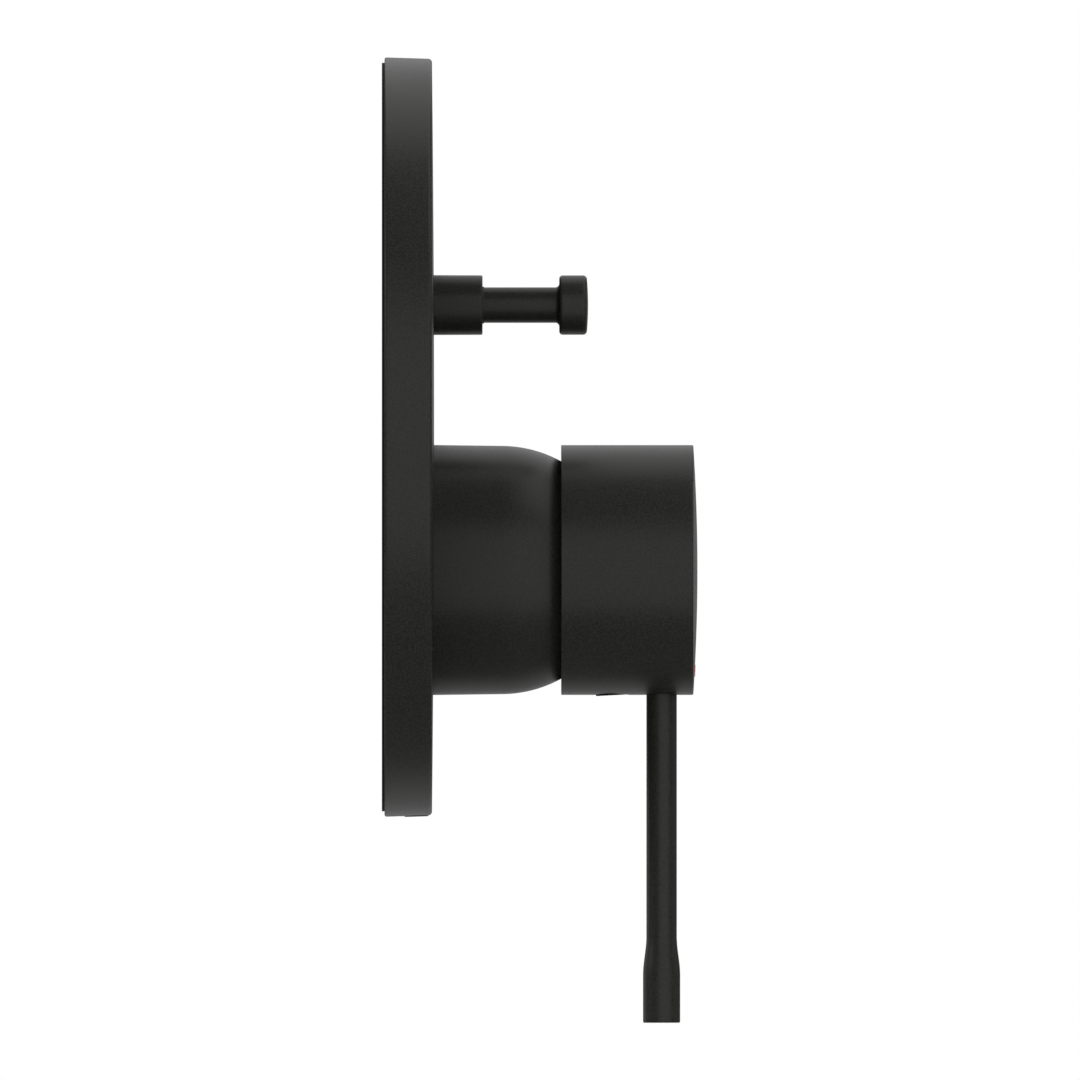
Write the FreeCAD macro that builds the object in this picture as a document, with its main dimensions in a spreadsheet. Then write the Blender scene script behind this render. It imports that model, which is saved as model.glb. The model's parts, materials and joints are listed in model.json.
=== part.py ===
import FreeCAD, Part
import math
import os
import re
import Sketcher

# Concealed single-lever shower mixer trim with a pull diverter, in millimetres.
# Row frame: the origin is the centre of the round plate on the wall plane, +Z is up,
# and the valve stands out of the wall along -Y.
# Each piece is drawn in a bench frame of its own: X to the right, Y up, and Z out of the
# wall, so that a depth is a distance from the wall. Two stations carry the turned pieces:
# the mixer's axis below the plate's centre, and the diverter's axis above it.

os.makedirs("parts", exist_ok=True)

SIZES = {
    # Wall seal behind the plate
    "seal_inset": 1.13,
    "seal_width": 3.67,
    "seal_thickness": 0.55,
    "seal_tongue_depth": 2.4,
    "seal_tongue_wall": 2.0,
    "seal_clearance": 0.1,
    # Round plate
    "plate_radius": 79.0,
    "plate_draft": 0.3,
    "plate_rim_depth": 10.43,
    "plate_dome": 0.44,
    "plate_wall": 2.0,
    "plate_face_wall": 1.5,
    "plate_rounding": 0.35,
    "plate_hole_clearance": 0.15,
    "mixer_drop_share": 0.350127,
    "diverter_rise_share": 0.347595,
    # Grub screw in the plate's bottom rim, and the boss that carries its thread
    "rim_screw_radius": 2.5,
    "rim_screw_depth": 7.0,
    "rim_screw_proud": 0.13,
    "rim_boss_half_width": 5.0,
    "rim_boss_inset": 5.2,
    "rim_boss_back": 2.7,
    "thread_clearance": 0.02,
    # Carrier that the plate slides over
    "carrier_gap": 6.0,
    "carrier_thickness": 2.0,
    "carrier_rim_wall": 1.6,
    "carrier_rim_depth": 8.2,
    "carrier_pocket_depth": 1.0,
    "carrier_pocket_inset": 3.0,
    "carrier_pocket_margin": 0.9,
    "carrier_pocket_rib_half_width": 0.8,
    "carrier_side_pocket_radius": 36.0,
    "carrier_side_pocket_angle": 24.0,
    "carrier_opening_clearance": 0.3,
    "wall_screw_inset": 13.0,
    "wall_screw_hole_radius": 2.5,
    "rim_screw_gap": 0.05,
    # Valve body
    "body_core_radius": 26.0,
    "body_flange_radius": 35.5,
    "body_flange_front": 6.0,
    "body_boss_radius": 16.2,
    "body_boss_front": 8.4,
    "body_ear_radius": 24.5,
    "bridge_half_width": 10.0,
    "cup_radius": 22.4,
    "cup_nut_gap": 0.2,
    "cup_seal_groove_radius": 21.6,
    "cup_seal_depth": 15.0,
    "cup_seal_groove_half_width": 1.5,
    "cup_thread_radius": 20.0,
    "cup_thread_length": 6.4,
    "inlet_radius": 3.2,
    "inlet_offset": 7.5,
    "inlet_drop": 4.0,
    "outlet_rise": 8.0,
    "outlet_pocket_back": 2.0,
    "passage_radius": 1.8,
    "passage_depth": 3.7,
    "port_groove_radius": 5.2,
    "port_groove_depth": 1.2,
    "groove_land": 0.4,
    "port_seal_clearance": 0.1,
    "seal_bore_gap": 0.35,
    # Screws that hold the valve body to the carrier
    "body_screw_radius": 2.0,
    "body_screw_hole_radius": 2.15,
    "body_screw_head_radius": 3.5,
    "body_screw_head_height": 2.3,
    "body_screw_offset": 21.9,
    "ear_screw_offset": 20.3,
    "body_screw_tip_depth": 0.2,
    "hex_key_radius": 1.6,
    # Cartridge
    "cartridge_radius": 17.4,
    "cartridge_clearance": 0.1,
    "base_front": 11.6,
    "base_floor": 10.0,
    "base_seal_recess_radius": 4.7,
    "base_seal_recess_depth": 1.0,
    "locating_pin_radius": 1.5,
    "locating_pin_length": 1.5,
    "locating_pin_offset": 12.0,
    "locating_pin_rise": 6.0,
    "fixed_disc_radius": 14.5,
    "fixed_disc_thickness": 2.4,
    "disc_port_radius": 2.8,
    "disc_gap": 0.05,
    "moving_disc_radius": 11.5,
    "moving_disc_thickness": 2.0,
    "mixing_pocket_depth": 1.0,
    "disc_carrier_radius": 11.9,
    "disc_carrier_thickness": 4.5,
    "disc_carrier_half_width": 9.0,
    "ball_radius": 2.6,
    "ball_arm": 7.5,
    "ball_clearance": 0.08,
    "ball_neck_radius": 1.9,
    "case_inner_radius": 16.25,
    "case_ledge_depth": 25.7,
    "case_shoulder_height": 1.5,
    "case_neck_radius": 14.6,
    "case_neck_length": 1.8,
    "rotor_gap": 0.15,
    "rotor_back": 15.7,
    "rotor_neck_radius": 12.9,
    "rotor_proud": 0.4,
    "rotor_slot_half_width": 3.7,
    "rotor_slot_low": 6.0,
    "rotor_slot_high": 7.2,
    "rotor_pocket_roof": 19.4,
    "stop_recess_radius": 14.0,
    "stop_recess_angle": 54.0,
    "stop_rib_half_width": 2.0,
    "stop_rib_gap": 0.3,
    "nut_thread_start": 1.0,
    "nut_skirt_radius": 17.7,
    "nut_bore_radius": 14.8,
    "nut_head_gap": 0.6,
    "nut_head_radius": 21.9,
    "nut_head_height": 2.4,
    "nut_slot_half_width": 2.0,
    "nut_slot_depth": 1.6,
    "pin_radius": 1.5,
    "pin_half_length": 12.0,
    "pin_running_clearance": 0.05,
    "stop_ring_radius": 16.0,
    "stop_ring_gap": 0.3,
    "stop_ring_height": 1.3,
    "stop_tooth_length": 1.4,
    # Ball-nosed sleeve
    "sleeve_back_radius": 26.02,
    "sleeve_wall": 1.5,
    "sleeve_seat_gap": 0.1,
    "nose_radius": 25.77,
    "pivot_depth": 24.85,
    "mouth_angle": 41.0,
    "sleeve_seal_section": 1.38,
    "sleeve_seal_squeeze": 0.02,
    "plate_ring_wall": 1.2,
    "plate_ring_thickness": 1.8,
    # Handle
    "spindle_half_width": 3.5,
    "spindle_back": 21.5,
    "spindle_gap": 1.3,
    "socket_clearance": 0.05,
    "cap_radius": 25.95,
    "cap_wall": 1.95,
    "cap_back": 37.3,
    "cap_rim_depth": 64.8,
    "cap_dome": 0.86,
    "cap_face_wall": 2.5,
    "cap_back_rounding": 0.15,
    "cap_front_rounding": 0.3,
    "hub_radius": 7.2,
    "hub_inset": 6.2,
    "hub_rib_half_width": 0.8,
    "hub_rib_reach": 7.3,
    "lever_share": 0.76,
    "lever_radius": 3.145,
    "lever_boss_radius": 4.6,
    "lever_stud_radius": 2.5,
    "lever_stud_top": 9.6,
    "lever_shoulder": 19.0,
    "flare_start": 76.3,
    "flare_end": 84.2,
    "flare_radius": 3.845,
    "lever_end": 94.2,
    "lever_end_rounding": 0.2,
    "handle_screw_radius": 2.5,
    "handle_screw_share": 0.385455,
    "handle_screw_tilt": 3.0,
    "handle_screw_boss_radius": 4.0,
    "handle_screw_boss_reach": 11.5,
    "handle_screw_length": 6.6,
    "plug_radius": 3.4,
    "plug_clearance": 0.05,
    "plug_proud": 0.15,
    "plug_length": 3.6,
    # Hot and cold marks let into the face
    "mark_inset": 3.75,
    "mark_width": 2.2,
    "mark_sweep": 21.0,
    "mark_gap_angle": 2.0,
    "mark_thickness": 0.5,
    # Diverter
    "seat_floor": 0.8,
    "seat_radius": 2.5,
    "chamber_radius": 4.6,
    "bath_port_offset": 12.0,
    "bath_port_radius": 1.8,
    "bath_groove_radius": 3.6,
    "window_half_height": 1.6,
    "window_back": 6.5,
    "window_front": 7.8,
    "barrel_back": 6.3,
    "barrel_bore_radius": 2.9,
    "barrel_lip_depth": 8.8,
    "barrel_snout_radius": 4.95,
    "barrel_front": 9.6,
    "barrel_thread_clearance": 0.03,
    "diverter_stem_radius": 1.8,
    "diverter_stem_clearance": 0.06,
    "stem_tail_radius": 1.5,
    "stem_flange_radius": 2.6,
    "stem_flange_thickness": 0.6,
    "stem_front": 14.0,
    "washer_radius": 4.0,
    "washer_thickness": 1.0,
    "washer_seat_gap": 0.05,
    "tail_clip_radius": 2.2,
    "tail_clip_thickness": 0.6,
    "collar_back_radius": 6.24,
    "collar_front_radius": 6.195,
    "collar_front": 20.95,
    "collar_bore_radius": 5.0,
    "collar_rounding": 0.25,
    "collar_seal_wall": 2.1,
    "collar_seal_thickness": 0.5,
    "bush_back": 17.6,
    "bush_lip": 0.3,
    "bush_lip_radius": 4.7,
    "bush_running_clearance": 0.06,
    "neck_radius": 3.695,
    "neck_back": 10.0,
    "neck_flare": 0.8,
    "knob_back": 36.9,
    "knob_radius": 6.18,
    "knob_rim_depth": 42.72,
    "knob_dome": 0.2,
    "knob_back_rounding": 0.75,
    "knob_front_rounding": 0.65,
    "clip_groove_depth": 0.4,
    "clip_back": 10.45,
    "clip_thickness": 0.7,
    "clip_radius": 4.7,
    "clip_gap_half_width": 1.2,
    "spring_wire_radius": 0.2,
    "spring_half_turns": 8,
    "spring_coil_radius": 4.32,
}

# Sizes worked out from the ones above
DERIVED = {
    "mixer_drop": "plate_radius * mixer_drop_share",
    "diverter_rise": "plate_radius * diverter_rise_share",
    "plate_inner_radius": "plate_radius - plate_wall",
    "seal_radius": "plate_radius - seal_inset",
    "seal_inner_radius": "seal_radius - seal_width",
    "carrier_radius": "plate_inner_radius - carrier_gap",
    "wall_screw_circle": "carrier_radius - wall_screw_inset",
    "plate_face_back": "plate_rim_depth - plate_face_wall",
    "plate_hole_radius": "sleeve_back_radius + plate_hole_clearance",
    "collar_hole_radius": "collar_back_radius + plate_hole_clearance",
    "sleeve_inner_radius": "sleeve_back_radius - sleeve_wall",
    "nose_inner_radius": "nose_radius - sleeve_wall",
    "sleeve_back": "body_flange_front + sleeve_seat_gap",
    "cup_bore_radius": "cartridge_radius + cartridge_clearance",
    "case_shoulder_depth": "case_ledge_depth + case_shoulder_height",
    "case_front": "case_shoulder_depth + case_neck_length",
    "nut_head_back": "case_front + nut_head_gap",
    "nut_front": "nut_head_back + nut_head_height",
    "stop_ring_back": "nut_front + stop_ring_gap",
    "stop_ring_front": "stop_ring_back + stop_ring_height",
    "rotor_front": "stop_ring_front + rotor_proud",
    "cup_front": "nut_head_back - cup_nut_gap",
    "cup_thread_back": "cup_front - cup_thread_length",
    "nut_thread_back": "cup_thread_back + nut_thread_start",
    "mark_outer_radius": "cap_radius - mark_inset",
    "mark_inner_radius": "mark_outer_radius - mark_width",
    "moving_disc_back": "base_floor + fixed_disc_thickness + disc_gap",
    "moving_disc_front": "moving_disc_back + moving_disc_thickness",
    "disc_carrier_front": "moving_disc_front + disc_carrier_thickness",
    "ball_depth": "pivot_depth - ball_arm",
    "rotor_radius": "case_inner_radius - rotor_gap",
    "cap_inner_radius": "cap_radius - cap_wall",
    "cap_face_back": "cap_rim_depth - cap_face_wall",
    "hub_back": "cap_back + hub_inset",
    "hub_rib_back": "cap_face_back - hub_rib_reach",
    "lever_depth": "cap_back + lever_share * (cap_rim_depth - cap_back)",
    "handle_screw_depth": "cap_back + handle_screw_share * (cap_rim_depth - cap_back)",
    "spindle_front": "cap_face_back - spindle_gap",
    "spindle_socket": "spindle_half_width + socket_clearance",
    "washer_back": "seat_floor + washer_seat_gap",
    "washer_front": "washer_back + washer_thickness",
    "collar_bush_radius": "collar_bore_radius - barrel_thread_clearance",
}

FUNCTIONS = ("sin", "cos", "tan", "sqrt")
AROUND_X = FreeCAD.Vector(1, 0, 0)
AROUND_Y = FreeCAD.Vector(0, 1, 0)
AROUND_Z = FreeCAD.Vector(0, 0, 1)

doc = FreeCAD.newDocument("shower_valve")
sheet = doc.addObject("Spreadsheet::Sheet", "sizes")
for row, (word, size) in enumerate(list(SIZES.items()) + list(DERIVED.items()), 1):
    sheet.set("A%d" % row, word)
    sheet.set("B%d" % row, str(size) if word in SIZES else "=" + size)
    sheet.setAlias("B%d" % row, word)
doc.recompute()
gauge = doc.addObject("Part::Vertex", "gauge")

NODES = {}


def bound(formula):
    """Point every word of a formula at its cell in the sheet."""
    return re.sub(r"[a-z]\w*", lambda word: word.group(0) if word.group(0) in FUNCTIONS
                  else "sizes." + word.group(0), formula)


def size_of(formula):
    """The present value of a formula."""
    gauge.setExpression("X", bound(formula))
    gauge.recompute()
    return gauge.X.Value


def stand(thing, x="0", y="0", z="0", turn=None):
    """Place a primitive in its piece's bench frame, turned first if turn is given."""
    if turn:
        thing.Placement = FreeCAD.Placement(FreeCAD.Vector(), FreeCAD.Rotation(*turn))
    for way, formula in zip("xyz", (x, y, z)):
        thing.setExpression("Placement.Base." + way, bound(formula))
    return thing


def rod(name, radius, back, front, x="0", y="0"):
    """A cylinder along the depth, between two depths."""
    thing = doc.addObject("Part::Cylinder", name)
    thing.setExpression("Radius", bound(radius))
    thing.setExpression("Height", bound("%s - (%s)" % (front, back)))
    return stand(thing, x, y, back)


def drop_rod(name, radius, top, length, depth, tilt="0"):
    """A cylinder that points down, its lower end tipped away from the wall by tilt degrees."""
    thing = doc.addObject("Part::Cylinder", name)
    thing.setExpression("Radius", bound(radius))
    thing.setExpression("Height", bound(length))
    stand(thing, "0", "-(%s)" % top, depth, (AROUND_X, 90 - size_of(tilt)))
    return thing


def bar(name, x, y, z, turn=0):
    """A block between pairs of formulas, turned about the axis by turn degrees."""
    thing = doc.addObject("Part::Box", name)
    for side, (low, high) in zip(("Length", "Width", "Height"), (x, y, z)):
        thing.setExpression(side, bound("%s - (%s)" % (high, low)))
    if not turn:
        return stand(thing, x[0], y[0], z[0])
    holder = alone(stand(thing, x[0], y[0], z[0]))
    holder.Placement = FreeCAD.Placement(FreeCAD.Vector(), FreeCAD.Rotation(AROUND_Z, turn))
    return holder


def joined(name, *things):
    fuse = doc.addObject("Part::MultiFuse", name)
    fuse.Shapes = list(things)
    fuse.Refine = True
    return fuse


def without(name, base, *tools):
    """The base with every tool taken out of it."""
    cut = doc.addObject("Part::Cut", name)
    cut.Base = base
    cut.Tool = tools[0] if len(tools) == 1 else joined(name + "_tools", *tools)
    cut.Refine = True
    return cut


def shared(name, *things):
    common = doc.addObject("Part::MultiCommon", name)
    common.Shapes = list(things)
    return common


def alone(thing):
    """A holder for a primitive that is a piece by itself, so that it can be stood on the wall."""
    holder = doc.addObject("Part::Compound", thing.Name + "_piece")
    holder.Links = [thing]
    return holder


def plane_of(body, role):
    return next(part for part in body.Origin.OriginFeatures if part.Role == role)


def pin_down(sketch, kind, geometry, point, formula, name):
    """Hold one coordinate of a point at a formula, or on the axis where the formula is 0."""
    if formula == "0":
        line = -2 if kind == "DistanceX" else -1
        sketch.addConstraint(Sketcher.Constraint("PointOnObject", geometry, point, line))
        return
    place = sketch.addConstraint(
        Sketcher.Constraint(kind, -1, 1, geometry, point, size_of(formula)))
    sketch.renameConstraint(place, name)
    sketch.setExpression("Constraints." + name, bound(formula))


def arc_between(start, end, rule):
    """The short arc between two points whose centre has a given radius or depth."""
    kind, level = rule[0], size_of(rule[1])
    along, across = (0, 1) if kind == "radius" else (1, 0)
    first, last = start[along] - level, end[along] - level
    other = (first ** 2 - last ** 2 + start[across] ** 2 - end[across] ** 2)
    other /= 2 * (start[across] - end[across])
    centre = (level, other) if kind == "radius" else (other, level)
    centre = FreeCAD.Vector(centre[0], centre[1], 0)
    spokes = [FreeCAD.Vector(point[0], point[1], 0) - centre for point in (start, end)]
    anticlockwise = spokes[0].cross(spokes[1]).z > 0
    angles = [AROUND_X.getAngle(spoke) if spoke.y >= 0 else -AROUND_X.getAngle(spoke)
              for spoke in spokes]
    circle = Part.Circle(centre, AROUND_Z, spokes[0].Length)
    arc = Part.ArcOfCircle(circle, *(angles if anticlockwise else reversed(angles)))
    return arc, anticlockwise


def with_rounds(corners, arcs, rounds):
    """Replace each corner named in rounds by a quarter arc of that radius."""
    outline, rules = [], {}
    for index, (radius, depth) in enumerate(corners):
        if index not in rounds:
            outline.append((radius, depth))
        else:
            trim = rounds[index]
            before, after = corners[index - 1], corners[(index + 1) % len(corners)]
            rises = size_of(depth) > size_of(before[1])
            turns_in = size_of(after[0]) < size_of(radius)
            along = abs(size_of(before[0]) - size_of(radius)) < abs(
                size_of(before[1]) - size_of(depth))
            if not along:
                rises = size_of(depth) > size_of(after[1])
                turns_in = size_of(before[0]) < size_of(radius)
            side = (radius, "%s %s %s" % (depth, "-" if rises else "+", trim))
            face = ("%s %s %s" % (radius, "-" if turns_in else "+", trim), depth)
            outline += [side, face] if along else [face, side]
            rules[len(outline) - 2] = ("radius", face[0])
        if index in arcs:
            rules[len(outline) - 1] = arcs[index]
    return outline, rules


def turned(name, corners, arcs=None, rounds=None):
    """A body turned from a closed outline of (radius, depth) corners. An entry of arcs makes
    the side that leaves that corner an arc, whose centre has the radius or depth it states.
    An entry of rounds gives that corner a rounded edge."""
    corners, arcs = with_rounds(corners, arcs or {}, rounds or {})
    body = doc.addObject("PartDesign::Body", name)
    sketch = body.newObject("Sketcher::SketchObject", name + "_outline")
    sketch.AttachmentSupport = [(plane_of(body, "XZ_Plane"), "")]
    sketch.MapMode = "FlatFace"
    points = [(size_of(radius), size_of(depth)) for radius, depth in corners]
    ends = []
    for index, start in enumerate(points):
        end = points[(index + 1) % len(points)]
        if index in arcs:
            side, forward = arc_between(start, end, arcs[index])
        else:
            side = Part.LineSegment(FreeCAD.Vector(start[0], start[1], 0),
                                    FreeCAD.Vector(end[0], end[1], 0))
            forward = True
        ends.append((sketch.addGeometry(side), (1, 2) if forward else (2, 1)))
    for index, (radius, depth) in enumerate(corners):
        side, (start, end) = ends[index]
        before, (_, before_end) = ends[index - 1]
        sketch.addConstraint(Sketcher.Constraint("Coincident", before, before_end, side, start))
        pin_down(sketch, "DistanceX", side, start, radius, "corner_%d_radius" % index)
        pin_down(sketch, "DistanceY", side, start, depth, "corner_%d_depth" % index)
        if index in arcs:
            kind, formula = arcs[index]
            way = "DistanceX" if kind == "radius" else "DistanceY"
            pin_down(sketch, way, side, 3, formula, "centre_%d" % index)
    turning = body.newObject("PartDesign::Revolution", name + "_turning")
    turning.Profile = sketch
    turning.ReferenceAxis = (sketch, ["V_Axis"])
    turning.Angle = 360
    return body


def ring(name, inner, outer, back, front):
    """A plain ring of square section."""
    return turned(name, [(inner, back), (outer, back), (outer, front), (inner, front)])


def node(name, thing, station="0"):
    """Name a finished piece and stand it on the wall: bench Z points out along -Y."""
    thing.Label = name
    thing.Placement = FreeCAD.Placement(FreeCAD.Vector(), FreeCAD.Rotation(AROUND_X, 90))
    if station != "0":
        thing.setExpression("Placement.Base.z", bound(station))
    NODES[name] = thing


MIXER = "-mixer_drop"
DIVERTER = "diverter_rise"
SCREW_CORNERS = [(right, up) for right in (-1, 1) for up in (-1, 1)]


def make_wall_seal():
    tongue_outer = "plate_inner_radius - seal_clearance"
    tongue_inner = tongue_outer + " - seal_tongue_wall"
    node("wall_seal", turned("wall_seal_ring", [
        ("seal_inner_radius", "0"), ("seal_radius", "0"), ("seal_radius", "seal_thickness"),
        (tongue_outer, "seal_thickness"), (tongue_outer, "seal_tongue_depth"),
        (tongue_inner, "seal_tongue_depth"), (tongue_inner, "seal_thickness"),
        ("seal_inner_radius", "seal_thickness")]))


def make_escutcheon():
    """A shallow drum with a slightly domed face, two holes and an inner boss at the bottom."""
    front_radius = "plate_radius - plate_draft"
    shell = turned("plate_shell", [
        ("plate_inner_radius", "seal_thickness"), ("plate_radius", "seal_thickness"),
        (front_radius, "plate_rim_depth"), ("0", "plate_rim_depth + plate_dome"),
        ("0", "plate_face_back"), ("plate_inner_radius", "plate_face_back")],
        {2: ("radius", "0")}, {1: "plate_rounding", 2: "plate_rounding"})
    boss = bar("rim_boss", ("-rim_boss_half_width", "rim_boss_half_width"),
               ("-plate_inner_radius - seal_clearance", "rim_boss_inset - plate_inner_radius"),
               ("rim_boss_back", "plate_face_back + seal_clearance"))
    shell = joined("plate_with_boss", shell, boss)
    holes = [
        rod("mixer_hole", "plate_hole_radius", "0", "2 * plate_rim_depth", y="-mixer_drop"),
        rod("diverter_hole", "collar_hole_radius", "0", "2 * plate_rim_depth", y="diverter_rise"),
        drop_rod("rim_screw_hole", "rim_screw_radius + thread_clearance",
                 "carrier_radius", "2 * plate_wall + plate_radius - carrier_radius",
                 "rim_screw_depth")]
    node("escutcheon", without("plate_drilled", shell, *holes))


def make_rim_screw():
    tip = "carrier_radius + rim_screw_gap"
    rim = "plate_radius - plate_draft * rim_screw_depth / plate_rim_depth"
    length = "%s + rim_screw_proud - (%s)" % (rim, tip)
    screw = drop_rod("rim_screw_blank", "rim_screw_radius", tip, length, "rim_screw_depth")
    key = doc.addObject("Part::Prism", "rim_screw_key")
    key.Polygon = 6
    key.setExpression("Circumradius", bound("hex_key_radius"))
    key.setExpression("Height", bound("2 * hex_key_radius"))
    stand(key, "0", "-(%s)" % (tip + " + %s - 1.5 * hex_key_radius" % length),
          "rim_screw_depth", (AROUND_X, 90))
    node("plate_grub_screw", without("rim_screw", screw, key))


def body_screw_places():
    """Four screws round the cup, and two beside the diverter, as formulas of x and y."""
    places = [("%d * body_screw_offset" % right, "%d * body_screw_offset - mixer_drop" % up)
              for right, up in SCREW_CORNERS]
    return places + [("%d * ear_screw_offset" % right, "diverter_rise") for right in (-1, 1)]


def carrier_pockets():
    """Shallow moulded pockets in the carrier's back, with ribs between them: a ring of twelve
    outside the wall screws, and three on each side of the valve body."""
    def ribs(name, angles):
        return [bar("%s_%d" % (name, index),
                    ("-carrier_pocket_rib_half_width", "carrier_pocket_rib_half_width"),
                    ("0", "2 * carrier_radius"), ("-seat_floor", "2 * carrier_pocket_depth"),
                    angle) for index, angle in enumerate(angles)]

    hole = "wall_screw_hole_radius + carrier_pocket_margin"
    around = ring("pocket_ring", "wall_screw_circle + " + hole,
                  "carrier_radius - carrier_pocket_inset", "-seat_floor",
                  "carrier_pocket_depth")
    pockets = [without("rim_pockets", around, *ribs("rim_rib", range(0, 360, 30)))]
    for side, facing in (("right", 0), ("left", 180)):
        half = size_of("carrier_side_pocket_angle")
        sector = doc.addObject("Part::Cylinder", side + "_pocket_sector")
        sector.setExpression("Radius", bound("wall_screw_circle - (%s)" % hole))
        sector.setExpression("Angle", bound("2 * carrier_side_pocket_angle"))
        sector.setExpression("Height", bound("seat_floor + carrier_pocket_depth"))
        stand(sector, z="-seat_floor", turn=(AROUND_Z, facing - half))
        core = rod(side + "_pocket_core", "carrier_side_pocket_radius", "-2 * seat_floor",
                   "2 * carrier_pocket_depth")
        pockets.append(without(side + "_pockets", sector, core,
                               *ribs(side + "_rib", (facing - 90 - half / 3,
                                                     facing - 90 + half / 3))))
    return pockets


def make_carrier():
    """A flat ring plate against the wall, with a raised rim that the plate slides over."""
    rim_inner = "carrier_radius - carrier_rim_wall"
    blank = turned("carrier_blank", [
        ("0", "0"), ("carrier_radius", "0"), ("carrier_radius", "carrier_rim_depth"),
        (rim_inner, "carrier_rim_depth"), (rim_inner, "carrier_thickness"),
        ("0", "carrier_thickness")])
    gap = "carrier_opening_clearance"
    through = ("-carrier_thickness", "2 * carrier_thickness")
    tools = [
        rod("carrier_mixer_opening", "body_core_radius + " + gap, *through, y="-mixer_drop"),
        rod("carrier_diverter_opening", "body_boss_radius + " + gap, *through,
            y="diverter_rise"),
        bar("carrier_bridge_opening",
            ("-bridge_half_width - " + gap, "bridge_half_width + " + gap),
            ("-mixer_drop", "diverter_rise"), through)]
    for index, (right, up) in enumerate(SCREW_CORNERS):
        place = ("%d * wall_screw_circle * cos(45)" % right,
                 "%d * wall_screw_circle * sin(45)" % up)
        tools.append(rod("wall_screw_hole_%d" % index, "wall_screw_hole_radius",
                         *through, *place))
    for index, place in enumerate(body_screw_places()):
        tools.append(rod("carrier_thread_%d" % index, "body_screw_radius + thread_clearance",
                         *through, *place))
    node("carrier_plate", without("carrier", blank, *tools, *carrier_pockets()))


def make_body_screws():
    screws = []
    for index, (x, y) in enumerate(body_screw_places()):
        head_front = "body_flange_front + body_screw_head_height"
        shank = rod("screw_shank_%d" % index, "body_screw_radius", "body_screw_tip_depth",
                    "body_flange_front + body_screw_head_height / 2", x, y)
        head = rod("screw_head_%d" % index, "body_screw_head_radius", "body_flange_front",
                   head_front, x, y)
        key = doc.addObject("Part::Prism", "screw_key_%d" % index)
        key.Polygon = 6
        key.setExpression("Circumradius", bound("hex_key_radius"))
        key.setExpression("Height", bound("body_screw_head_height"))
        stand(key, x, y, "body_flange_front + body_screw_head_height / 2")
        screws.append(without("body_screw_%d" % index,
                              joined("screw_blank_%d" % index, shank, head), key))
    group = doc.addObject("Part::Compound", "body_screw_group")
    group.Links = screws
    node("body_screws", group)


def cartridge_ports(name, radius, back, front):
    """Two inlets side by side and one outlet above them, in the mixer's bench frame."""
    ports = [rod("%s_inlet_%d" % (name, index), radius, back, front,
                 "%d * inlet_offset" % side, "-inlet_drop")
             for index, side in enumerate((-1, 1))]
    return ports + [rod(name + "_outlet", radius, back, front, "0", "outlet_rise")]


def make_valve_body():
    """One brass casting: the cartridge cup, the diverter's boss, and the bridge that carries
    mixed water from one to the other. It is drawn about the mixer's axis."""
    rise = "mixer_drop + diverter_rise"
    solids = [
        rod("core", "body_core_radius", "0", "body_flange_front"),
        rod("flange", "body_flange_radius", "carrier_thickness", "body_flange_front"),
        rod("cup", "cup_radius", "0", "cup_front"),
        rod("boss", "body_boss_radius", "0", "body_boss_front", y=rise),
        rod("ears", "body_ear_radius", "carrier_thickness", "body_flange_front", y=rise),
        bar("bridge", ("-bridge_half_width", "bridge_half_width"), ("0", rise),
            ("0", "body_flange_front"))]
    groove = ring("cup_groove", "cup_seal_groove_radius", "2 * cup_radius",
                  "cup_seal_depth - cup_seal_groove_half_width",
                  "cup_seal_depth + cup_seal_groove_half_width")
    groove_limit = rod("cup_groove_limit", "sleeve_inner_radius", "0", "cup_front")
    tools = [
        shared("cup_groove_tool", groove, groove_limit),
        rod("cup_bore", "cup_bore_radius", "body_flange_front", "2 * cup_front"),
        rod("cup_thread", "cup_thread_radius", "cup_thread_back", "2 * cup_front"),
        rod("mixed_pocket", "inlet_radius", "outlet_pocket_back", "2 * body_flange_front",
            y="outlet_rise"),
        drop_rod("mixed_passage", "passage_radius", "-(%s)" % rise,
                 "%s - outlet_rise" % rise, "passage_depth"),
        rod("chamber", "chamber_radius", "seat_floor", "2 * body_boss_front", y=rise),
        rod("shower_seat", "seat_radius", "-seat_floor", "2 * seat_floor", y=rise),
        bar("bath_slot", ("0", "bath_port_offset"),
            (rise + " - window_half_height", rise + " + window_half_height"),
            ("window_back", "window_front")),
        rod("bath_port", "bath_port_radius", "-seat_floor", "window_front",
            "bath_port_offset", rise),
        rod("bath_groove", "bath_groove_radius", "-seat_floor", "port_groove_depth",
            "bath_port_offset", rise),
        without("shower_groove",
                rod("shower_groove_outer", "bath_port_offset - bath_groove_radius - 2 * seat_floor",
                    "-seat_floor", "port_groove_depth", y=rise),
                rod("shower_groove_inner", "chamber_radius + groove_land",
                    "-2 * seat_floor", "2 * port_groove_depth", y=rise))]
    for index, side in enumerate((-1, 1)):
        place = ("%d * inlet_offset" % side, "-inlet_drop")
        tools.append(rod("inlet_%d" % index, "inlet_radius", "-seat_floor",
                         "2 * body_flange_front", *place))
        tools.append(rod("inlet_groove_%d" % index, "port_groove_radius", "-seat_floor",
                         "port_groove_depth", *place))
        tools.append(rod("locating_hole_%d" % index, "locating_pin_radius + cartridge_clearance",
                         "body_flange_front - locating_pin_length - cartridge_clearance",
                         "2 * body_flange_front", "%d * locating_pin_offset" % side,
                         "locating_pin_rise"))
    for index, (x, y) in enumerate(body_screw_places()):
        tools.append(rod("body_screw_hole_%d" % index, "body_screw_hole_radius", "0",
                         "body_flange_front + seat_floor", x, y + " + mixer_drop"))
    node("valve_body", without("valve_casting", joined("valve_blank", *solids), *tools), MIXER)


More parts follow.
